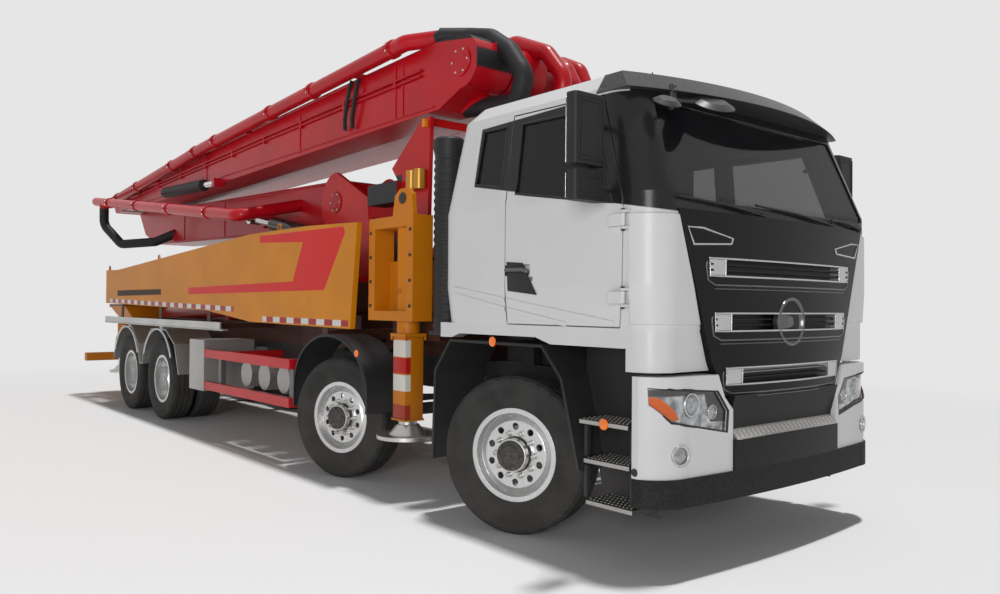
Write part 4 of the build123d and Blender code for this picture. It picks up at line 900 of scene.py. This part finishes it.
stepSet = {
    "treads": ((0.38, 0.86, 1.225), (0.625, 0.84, 1.2), (0.855, 0.8, 1.19)), "in": 0.965, "out": 1.205,
    "arch": ((-0.69, 0.4), (-0.66, 1.05), (-0.48, 1.275), (0.48, 1.275), (0.66, 1.08), (0.81, 0.54)),
    "archOut": 1.222, "posts": (0.835, 1.195), "postLevels": (0.5, 0.745),
    "markers": ((1.005, 1.213, 0.842), (0.0, 1.228, 1.285))
}


def makeSteps(handName, hand):
    shape = bmesh.new()
    out = stepSet["out"]
    for level, back, ahead in stepSet["treads"]:
        for y in spread(stepSet["in"] + 0.03, out - 0.02, 5):
            for x in spread(back + 0.02, ahead - 0.03, 12):
                addRod(shape, at(x, hand * y, level), at(x, hand * y, level + 0.005), 0.009, 10, 0.006)
        addBar(shape, (back + 0.004, ahead - 0.004), (out + 0.003, out + 0.008),
               (level - 0.027, level - 0.003), hand)
    place(shape, "aluminium", f"step_grips_{handName}", "chassis", 0.001, 1)
    shape = bmesh.new()
    for x in stepSet["posts"]:
        for level in stepSet["postLevels"]:
            addBar(shape, (x - 0.012, x + 0.012), (1.15, 1.19), (level - 0.115, level + 0.08), hand)
    place(shape, "blackPlastic", f"step_posts_{handName}", "chassis", 0.004, 2)
    shape = bmesh.new()
    addTube(shape, [at(x, hand * stepSet["archOut"], z) for x, z in stepSet["arch"]], 0.012, 10)
    place(shape, "blackPlastic", f"arch_lip_{handName}")
    shape = bmesh.new()
    for x, y, z in stepSet["markers"]:
        addLathe(shape, [(0.0, 0.034), (0.006, 0.033), (0.012, 0.022), (0.014, 0.0)], at(x, hand * y, z),
                 (0, hand, 0), 28)
    turnOut(shape)
    place(shape, "orangeLens", f"side_markers_{handName}")


bothHands(makeSteps)
print("steps done")

legSet = {
    "place": (-1.28, 1.05), "half": 0.088, "wall": 0.009, "low": 0.6, "high": 1.295,
    "collars": ((0.106, 0.017, 1.272, 1.3), (0.096, 0.007, 0.6, 0.616)), "collarBolt": 0.097,
    "pin": (-1.185, 2.372), "pinSpans": ((1.128, 1.192, 0.03, 20), (1.181, 1.19, 0.046, 24)),
    "boltRows": (-1.655, -1.075), "boltSpan": (1.52, 2.12)
}


def addSquareTube(shape, middle, half, wall, low, high):
    corners = ((-1, -1), (1, -1), (1, 1), (-1, 1))
    sizes = ((half, low), (half, high), (half - wall, high), (half - wall, low))
    joinRings(shape, [[shape.verts.new((*(middle + Vector(corner) * size), z)) for corner in corners]
                      for size, z in sizes], True)


def makeLegs(handName, hand):
    body = f"outrigger_front_{handName}"
    x, y = legSet["place"]
    middle = Vector((axleOne + x, hand * y))
    shape = bmesh.new()
    addSquareTube(shape, middle, legSet["half"], legSet["wall"], legSet["low"], legSet["high"])
    turnOut(shape)
    place(shape, "legAmber", f"leg_tube_front_{handName}", body, 0.004, 2)
    shape = bmesh.new()
    for collar in legSet["collars"]:
        addSquareTube(shape, middle, *collar)
    for side in (-1, 1):
        for end in (-1, 1):
            spot = middle + Vector((end, side)) * legSet["collarBolt"]
            addRod(shape, (*spot, 1.245), (*spot, 1.3), 0.009, 6)
    turnOut(shape)
    place(shape, "frameAmber", f"leg_collars_front_{handName}", body, 0.002, 1)
    shape = bmesh.new()
    x, z = legSet["pin"]
    for near, far, radius, sides in legSet["pinSpans"]:
        addRod(shape, at(x, hand * near, z), at(x, hand * far, z), radius, sides)
    for x in legSet["boltRows"]:
        for z in spread(*legSet["boltSpan"], 4):
            addRod(shape, at(x, hand * 1.1795, z), at(x, hand * 1.19, z), 0.014, 6)
    place(shape, "castDark", f"leg_frame_bolts_front_{handName}", body, 0.0015, 1)


archSet = {
    "steps": 18, "middle": (-2.3, 0.76), "reach": (0.672, 0.505), "across": (0.87, 1.222), "thick": 0.008,
    "foot": 0.74, "ends": ((-2.975, 0.56), (-1.628, 0.62)), "stays": (-2.62, -1.98),
    "marker": (-1.8, 1.223, 1.115)
}
ledgeSet = {
    "rail": (-9.318, -4.76), "across": (1.222, 1.2485), "up": (1.222, 1.318),
    "ribs": (1.2445, 1.27, 1.2955), "arches": (-6.9, -8.25), "archRadius": 0.585,
    "archTurns": range(24, 158, 6)
}


def addArch(shape, outline, hand):
    # a bent sheet over a wheel, with its outer edge turned down
    (inner, outer), thick = archSet["across"], archSet["thick"]
    rows = [(inner, 0.0), (outer, 0.0), (outer + 0.004, -0.024), (outer - 0.006, -0.024),
            (outer - 0.008, -thick), (inner, -thick)]
    middle = Vector((sum(x for x, z in outline) / len(outline), 0.55))
    rings = []
    for x, z in outline:
        inward = (middle - Vector((x, z))).normalized()
        rings.append([shape.verts.new(at(x - inward.x * drop, hand * y, z - inward.y * drop))
                      for y, drop in rows])
    joinRings(shape, rings)


def makeArches(handName, hand):
    shape = bmesh.new()
    (x, z), (wide, tall), (back, ahead) = archSet["middle"], archSet["reach"], archSet["ends"]
    turns = [pi * number / archSet["steps"] for number in range(1, archSet["steps"])]
    outline = [back, (back[0], archSet["foot"])]
    outline += [(x - wide * cos(turn), z + tall * sin(turn)) for turn in turns]
    addArch(shape, outline + [(ahead[0], archSet["foot"]), ahead], hand)
    for x in archSet["stays"]:
        low, high = sorted((hand * 0.42, hand * 0.9))
        addRod(shape, at(x, low, 1.1), at(x, high, 1.185), 0.02, 12)
    turnOut(shape)
    place(shape, "blackPlastic", f"axle_2_mudguard_{handName}")
    shape = bmesh.new()
    x, y, z = archSet["marker"]
    addLathe(shape, [(0.0, 0.03), (0.008, 0.029), (0.014, 0.018), (0.015, 0.0)], at(x, hand * y, z),
             (0, hand, 0), 28)
    turnOut(shape)
    place(shape, "orangeLens", f"arch_marker_{handName}")

    shape = bmesh.new()
    (back, ahead), out = ledgeSet["rail"], hand * ledgeSet["across"][1]
    addBar(shape, ledgeSet["rail"], ledgeSet["across"], ledgeSet["up"], hand)
    for z in ledgeSet["ribs"]:
        addTube(shape, [at(back + 0.002, out, z), at(ahead - 0.002, out, z)], 0.0035, 6)
    place(shape, "ledgeAluminium", f"ledge_rail_{handName}", "chassis", 0.004, 2)
    shape = bmesh.new()
    radius = ledgeSet["archRadius"]
    turns = [radians(turn) for turn in ledgeSet["archTurns"]]
    for x in ledgeSet["arches"]:
        addTube(shape, [at(x + radius * cos(turn), hand * 1.238, 0.6 + radius * sin(turn))
                        for turn in turns], 0.014)
    place(shape, "ledgeAluminium", f"rear_arch_edges_{handName}")


bothHands(makeLegs, makeArches)
print("legs and arches done")

panelSet = {
    "face": 1.2502, "latches": ((-3.98, -3.73, 2.086, 2.235), (-3.96, -3.74, 1.345, 1.457)),
    "latchDepths": (0.012, 0.0006), "seamDepths": (0.012, 0.0012), "seamHalf": 0.006,
    "seams": ((-5.87, (1.47, 2.145)), (-3.855, (1.35, 2.245))),
    "eyes": ((-3.3, 2.275), (-6.9, 2.12), (-9.18, 2.045)), "eyeRadius": 0.032,
    "edge": ((-9.27, 2.012), (-8.67, 2.002), (-3.95, 2.242), (-2.71, 2.242), (-1.785, 2.212),
             (-1.885, 1.33), (-3.92, 1.35), (-5.18, 1.46), (-9.27, 1.53))
}


def makePanels(handName, hand):
    shape = bmesh.new()
    face = panelSet["face"]
    across = [face - depth for depth in panelSet["latchDepths"]]
    for back, ahead, low, high in panelSet["latches"]:
        x, z = (back + ahead) / 2, (low + high) / 2
        addBar(shape, (back, x - 0.035), across, (low, high), hand)
        addBar(shape, (x + 0.035, ahead), across, (low, high), hand)
        addBar(shape, (x - 0.05, x + 0.05), across, (z - 0.02, z + 0.02), hand)
    place(shape, "castDark", f"panel_latches_{handName}", "chassis", 0.002, 1)
    shape = bmesh.new()
    across = [face - depth for depth in panelSet["seamDepths"]]
    for x, up in panelSet["seams"]:
        addBar(shape, (x - panelSet["seamHalf"], x + panelSet["seamHalf"]), across, up, hand)
    place(shape, "castDark", f"panel_seams_{handName}", "chassis", 0.001, 1)
    shape = bmesh.new()
    for x, z in panelSet["eyes"]:
        ring = ringOf(20, panelSet["eyeRadius"])
        addTube(shape, [at(x + dx, hand * 1.225, z + 0.005 + dz) for dx, dz in ring], 0.008, 8, True)
        addBar(shape, (x - 0.05, x + 0.05), (1.212, 1.238), (z - 0.075, z - 0.02), hand)
    place(shape, "frameAmber", f"lifting_eyes_{handName}", "chassis", 0.002, 1)
    shape = bmesh.new()
    addTube(shape, [at(x, hand * 1.2445, z) for x, z in panelSet["edge"]], 0.0052, 8, True)
    place(shape, "panelPlain", f"panel_edges_{handName}")


bothHands(makePanels)
print("side panels done")

roofSet = {
    "antenna": (0.86, -0.62, 2.9285), "rails": (-0.7, 0.7), "railRadius": 0.012,
    "railPath": ((-0.3, 2.927), (-0.27, 2.955), (0.8, 2.955), (0.84, 2.927))
}


def makeRoof():
    shape = bmesh.new()
    addLathe(shape, [(0.0, 0.0), (0.0, 0.03), (0.01, 0.028), (0.016, 0.012), (0.1, 0.006), (0.115, 0.003),
                     (0.115, 0.0)], at(*roofSet["antenna"]), (0, 0, 1), 24)
    turnOut(shape)
    place(shape, "blackPlastic", "roof_antenna")
    shape = bmesh.new()
    for y in roofSet["rails"]:
        addTube(shape, [at(x, y, z) for x, z in roofSet["railPath"]], roofSet["railRadius"])
    place(shape, "satinChrome", "roof_rails")


makeRoof()
print("roof done")

pipeSet = {
    "radius": 0.07, "clampHalf": 0.03, "clampHigh": 0.012, "boxTop": 3.9075, "lug": (0.026, 0.014, 0.018),
    "bolt": (0.036, 0.008)
}
pipeRuns = {  # across, clamp places along the run, run start, run end
    "boom_1": (-1.07, (-5.6, -7.0, -8.4, -9.8), (-4.7, 2.52), (-10.7, 3.22)),
    "boom_2": (-0.83, (-10.2, -9.2, -7.6, -6.7), (-10.7, 3.22), (-6.4, 3.56)),
    "boom_2b": (-0.83, (-6.0, -4.4, -3.4, -1.9), (-6.4, 3.56), (-1.7, 3.8)),
    "boom_3": (-0.03, (-9.0, -7.2, -6.2, -3.8, -2.1), (-9.6, 3.558), (-1.9, 3.832)),
    "boom_4": (0.3, (-8.8, -6.8, -4.2, -1.7), (-9.6, 3.549), (-1.4, 3.766)),
    "boom_5": (0.555, (-8.4, -6.4, -4.4, -1.5), (-1.18, 3.772), (-9.0, 3.5))
}
pinSet = {"bolts": 6, "boltShare": 0.8, "boltRadius": 0.01}
pinCaps = {  # radius, place, face across, facing
    "boom_2": ((0.105, (-10.7, 3.22), -0.7205, -1), (0.125, (-1.05, 3.52), -0.7205, -1)),
    "boom_3": ((0.105, (-10.05, 3.3), -0.3102, -1),),
    "boom_5": ((0.11, (-1.25, 3.52), 0.6902, 1),),
    "turret": ((0.12, (-3.75, 2.64), -0.3602, -1), (0.12, (-3.75, 2.64), 0.3602, 1))
}


def makeClamps(name, across, places, start, end):
    (x1, z1), (x2, z2) = start, end
    slope = (z2 - z1) / (x2 - x1)
    radius, half, lug = pipeSet["radius"], pipeSet["clampHalf"], Vector(pipeSet["lug"])
    reach, boltRadius = pipeSet["bolt"]
    shape, bolts = bmesh.new(), bmesh.new()
    for x in places:
        seat = at(x, across, z1 + (x - x1) * slope)
        high = min(pipeSet["clampHigh"], pipeSet["boxTop"] - seat.z - radius)
        addLathe(shape, [(-half, radius - 0.002), (-half, radius + high), (half, radius + high),
                         (half, radius - 0.002)], seat, (1, 0, slope), 36)
        for side in (-1, 1):
            middle = seat + Vector((0, side * (radius + 0.012), 0))
            addBlock(shape, middle - lug, middle + lug)
            addRod(bolts, middle - Vector((0, 0, reach)), middle + Vector((0, 0, reach)), boltRadius, 8)
    turnOut(shape)
    place(shape, "boomRedPlain", f"pipe_clamps_{name}", name[:6], 0.002, 1)
    place(bolts, "jackSteel", f"pipe_clamp_bolts_{name}", name[:6])


def makePins(body, caps):
    shape, bolts = bmesh.new(), bmesh.new()
    for radius, (x, z), y, facing in caps:
        addLathe(shape, [(0.0, 0.0), (0.0, radius), (0.008, radius), (0.012, radius - 0.004),
                         (0.012, radius * 0.6), (0.017, radius * 0.55), (0.017, 0.0)],
                 at(x, y, z), (0, facing, 0), 40)
        for dx, dz in ringOf(pinSet["bolts"], radius * pinSet["boltShare"]):
            spot = at(x + dx, y + facing * 0.011, z + dz)
            addRod(bolts, spot, spot + Vector((0, facing * 0.008, 0)), pinSet["boltRadius"], 6)
    turnOut(shape)
    place(shape, "boomRedPlain", f"pin_caps_{body}", body)
    place(bolts, "jackSteel", f"pin_cap_bolts_{body}", body)


for name, run in pipeRuns.items():
    makeClamps(name, *run)
for body, caps in pinCaps.items():
    makePins(body, caps)
print("boom done")

lineSet = {
    "oil": ((-1.6, 3.56), (-4.6, 3.47), (-9.9, 3.28)), "oilFace": -0.7345, "oilRadius": 0.0125,
    "drops": (0.0, 0.045), "clipSpan": (-9.4, -2.0), "clips": 9,
    "clipDrops": (0.022, 0.008), "clipAcross": (-0.751, -0.7205), "hoses": (-2.62, -2.76),
    "hoseRadius": 0.019, "ribAcross2": (-0.729, -0.7203), "barFace2": -0.7225,
    "ribAcross1": (0.3103, 0.3185), "barFace1": 0.3125,
    "hosePath": ((0.0, -0.745, 3.7), (-0.01, -0.765, 3.64), (-0.05, -0.772, 3.48), (-0.1, -0.766, 3.33),
                 (-0.12, -0.748, 3.235)),
    "ribs2": ((-1.9, 3.215, 3.7), (-2.02, 3.205, 3.7), (-3.9, 3.155, 3.64), (-6.6, 3.1, 3.52)),
    "bars2": ((-1.42, 3.215, -9.9, 3.09), (-2.6, 3.69, -9.9, 3.39)),
    "ribs1": ((-7.0, 2.445, 2.95), (-8.6, 2.485, 3.0)),
    "bars1": ((-4.0, 2.425, -5.35, 2.415), (-5.35, 2.415, -9.85, 2.525), (-3.98, 2.87, -8.75, 3.005))
}


def makeLines():
    shape, clips = bmesh.new(), bmesh.new()
    for drop in lineSet["drops"]:
        addTube(shape, [at(x, lineSet["oilFace"], z - drop) for x, z in lineSet["oil"]],
                lineSet["oilRadius"], 8)
    (startX, startZ), (endX, endZ) = lineSet["oil"][0], lineSet["oil"][-1]
    drop, sag = lineSet["clipDrops"]
    for x in spread(*lineSet["clipSpan"], lineSet["clips"]):
        share = (x - startX) / (endX - startX)
        z = startZ + share * (endZ - startZ) - drop - sag * sin(pi * share)
        addBar(clips, (x - 0.015, x + 0.015), lineSet["clipAcross"], (z - 0.042, z + 0.05))
    place(shape, "boomRedPlain", "oil_lines_boom_2", "boom_2")
    place(clips, "boomRedPlain", "oil_line_clips_boom_2", "boom_2", 0.002, 1)
    shape = bmesh.new()
    for start in lineSet["hoses"]:
        addTube(shape, [at(start + x, y, z) for x, y, z in lineSet["hosePath"]], lineSet["hoseRadius"])
    place(shape, "hoseBlack", "boom_hoses_boom_2", "boom_2")


def makeStiffeners():
    shape = bmesh.new()
    for x, low, high in lineSet["ribs2"]:
        addBar(shape, (x - 0.011, x + 0.011), lineSet["ribAcross2"], (low, high))
    face = lineSet["barFace2"]
    for x1, z1, x2, z2 in lineSet["bars2"]:
        addTube(shape, [at(x1, face, z1), at(x2, face, z2)], 0.009, 8)
    place(shape, "boomRedPlain", "stiffeners_boom_2", "boom_2", 0.002, 1)
    shape = bmesh.new()
    for hand in (-1, 1):
        face = hand * lineSet["barFace1"]
        for x1, z1, x2, z2 in lineSet["bars1"]:
            addTube(shape, [at(x1, face, z1), at(x2, face, z2)], 0.01, 8)
        for x, low, high in lineSet["ribs1"]:
            addBar(shape, (x - 0.012, x + 0.012), lineSet["ribAcross1"], (low, high), hand)
    place(shape, "boomRedPlain", "stiffeners_boom_1", "boom_1")


ductSet = {
    "place": (-0.84, 1.33), "across": (0.985, 0.745), "folds": 22, "foldStep": 0.06, "low": 0.108,
    "high": 0.116, "tray": ((-0.945, -0.735), (0.64, 1.09), (1.3, 1.332))
}


def makeDucts(handName, hand):
    # bellows with a collar on top, standing on a tray behind the cab
    shape = bmesh.new()
    low, high = ductSet["low"], ductSet["high"]
    profile = [(0.0, 0.0), (0.0, low)]
    for number in range(ductSet["folds"]):
        x = 0.02 + number * ductSet["foldStep"]
        profile += [(x, low), (x + 0.015, high), (x + 0.03, high), (x + 0.045, low)]
    profile += [(1.36, 0.112), (1.4, 0.122), (1.47, 0.122), (1.49, 0.1), (1.49, 0.0)]
    x, z = ductSet["place"]
    for y in ductSet["across"]:
        addLathe(shape, profile, at(x, hand * y, z), (0, 0, 1), 28)
    addBar(shape, *ductSet["tray"], hand)
    turnOut(shape)
    place(shape, "blackPlastic", f"intake_ducts_{handName}")


makeLines()
makeStiffeners()
bothHands(makeDucts)
print("lines and ducts done")

turretSet = {
    "x": -3.4, "ring": 0.49, "bolts": 36, "top": 1.8205, "boltTop": 1.842, "clearAcross": 0.42,
    "clearFrom": -2.95, "hoses": (-0.3, -0.2, -0.1, 0.1, 0.2, 0.3), "hoseRadius": 0.02
}
hopperSet = {"ribs": (-0.6, -0.2, 0.2, 0.6), "foot": (-10.212, 0.74), "rib": (-10.6, 1.466), "half": 0.845,
             "rim": (-10.58, -9.76, -10.594), "rimTop": 1.462, "lamps": (0.7, 0.82, 0.94, 1.06),
             "lampPlace": (-10.7002, 0.625), "case": ((-10.7075, -10.7005), (0.635, 1.125), (0.568, 0.682))}


def makeTurret():
    shape = bmesh.new()
    for x, y in ringOf(turretSet["bolts"], turretSet["ring"]):
        x += turretSet["x"]
        if abs(y) > turretSet["clearAcross"] or x > turretSet["clearFrom"]:
            addRod(shape, at(x, y, turretSet["top"]), at(x, y, turretSet["boltTop"]), 0.014, 6)
    place(shape, "jackSteel", "slewing_ring_bolts", "turret", 0.001, 1)
    shape = bmesh.new()
    for number, y in enumerate(turretSet["hoses"]):
        reach = 0.03 * (number % 3)
        path = [(-3.02, 1.9), (-2.985 + reach * 0.3, 1.95), (-2.97 + reach * 0.5, 2.05),
                (-2.985 + reach * 0.3, 2.18), (-3.02, 2.3), (-3.065, 2.42)]
        addTube(shape, [at(x, y, z) for x, z in path], turretSet["hoseRadius"])
    place(shape, "hoseBlack", "turret_hoses", "turret")


def makeHopper():
    shape = bmesh.new()
    (footX, footZ), (ribX, ribZ), half = hopperSet["foot"], hopperSet["rib"], hopperSet["half"]
    for y in hopperSet["ribs"]:
        addTube(shape, [at(footX, y * 0.36 / 0.85, footZ), at(ribX, y, ribZ)], 0.012, 8)
    (back, ahead, end), top = hopperSet["rim"], hopperSet["rimTop"]
    for y in (-half, half):
        addTube(shape, [at(back, y, top), at(ahead, y, top)], 0.014, 8)
    addTube(shape, [at(end, -half, top), at(end, half, top)], 0.014, 8)
    place(shape, "frameAmber", "hopper_ribs")
    lamps, cases = bmesh.new(), bmesh.new()
    x, z = hopperSet["lampPlace"]
    for hand in (-1, 1):
        for y in hopperSet["lamps"]:
            addLathe(lamps, [(0.0, 0.045), (0.008, 0.044), (0.014, 0.03), (0.016, 0.0)], at(x, hand * y, z),
                     (-1, 0, 0), 28)
        addBar(cases, *hopperSet["case"], hand)
    turnOut(lamps)
    place(lamps, "redLens", "tail_lamps")
    place(cases, "blackPlastic", "tail_lamp_cases", "chassis", 0.003, 2)


makeTurret()
makeHopper()
print("turret and hopper done")
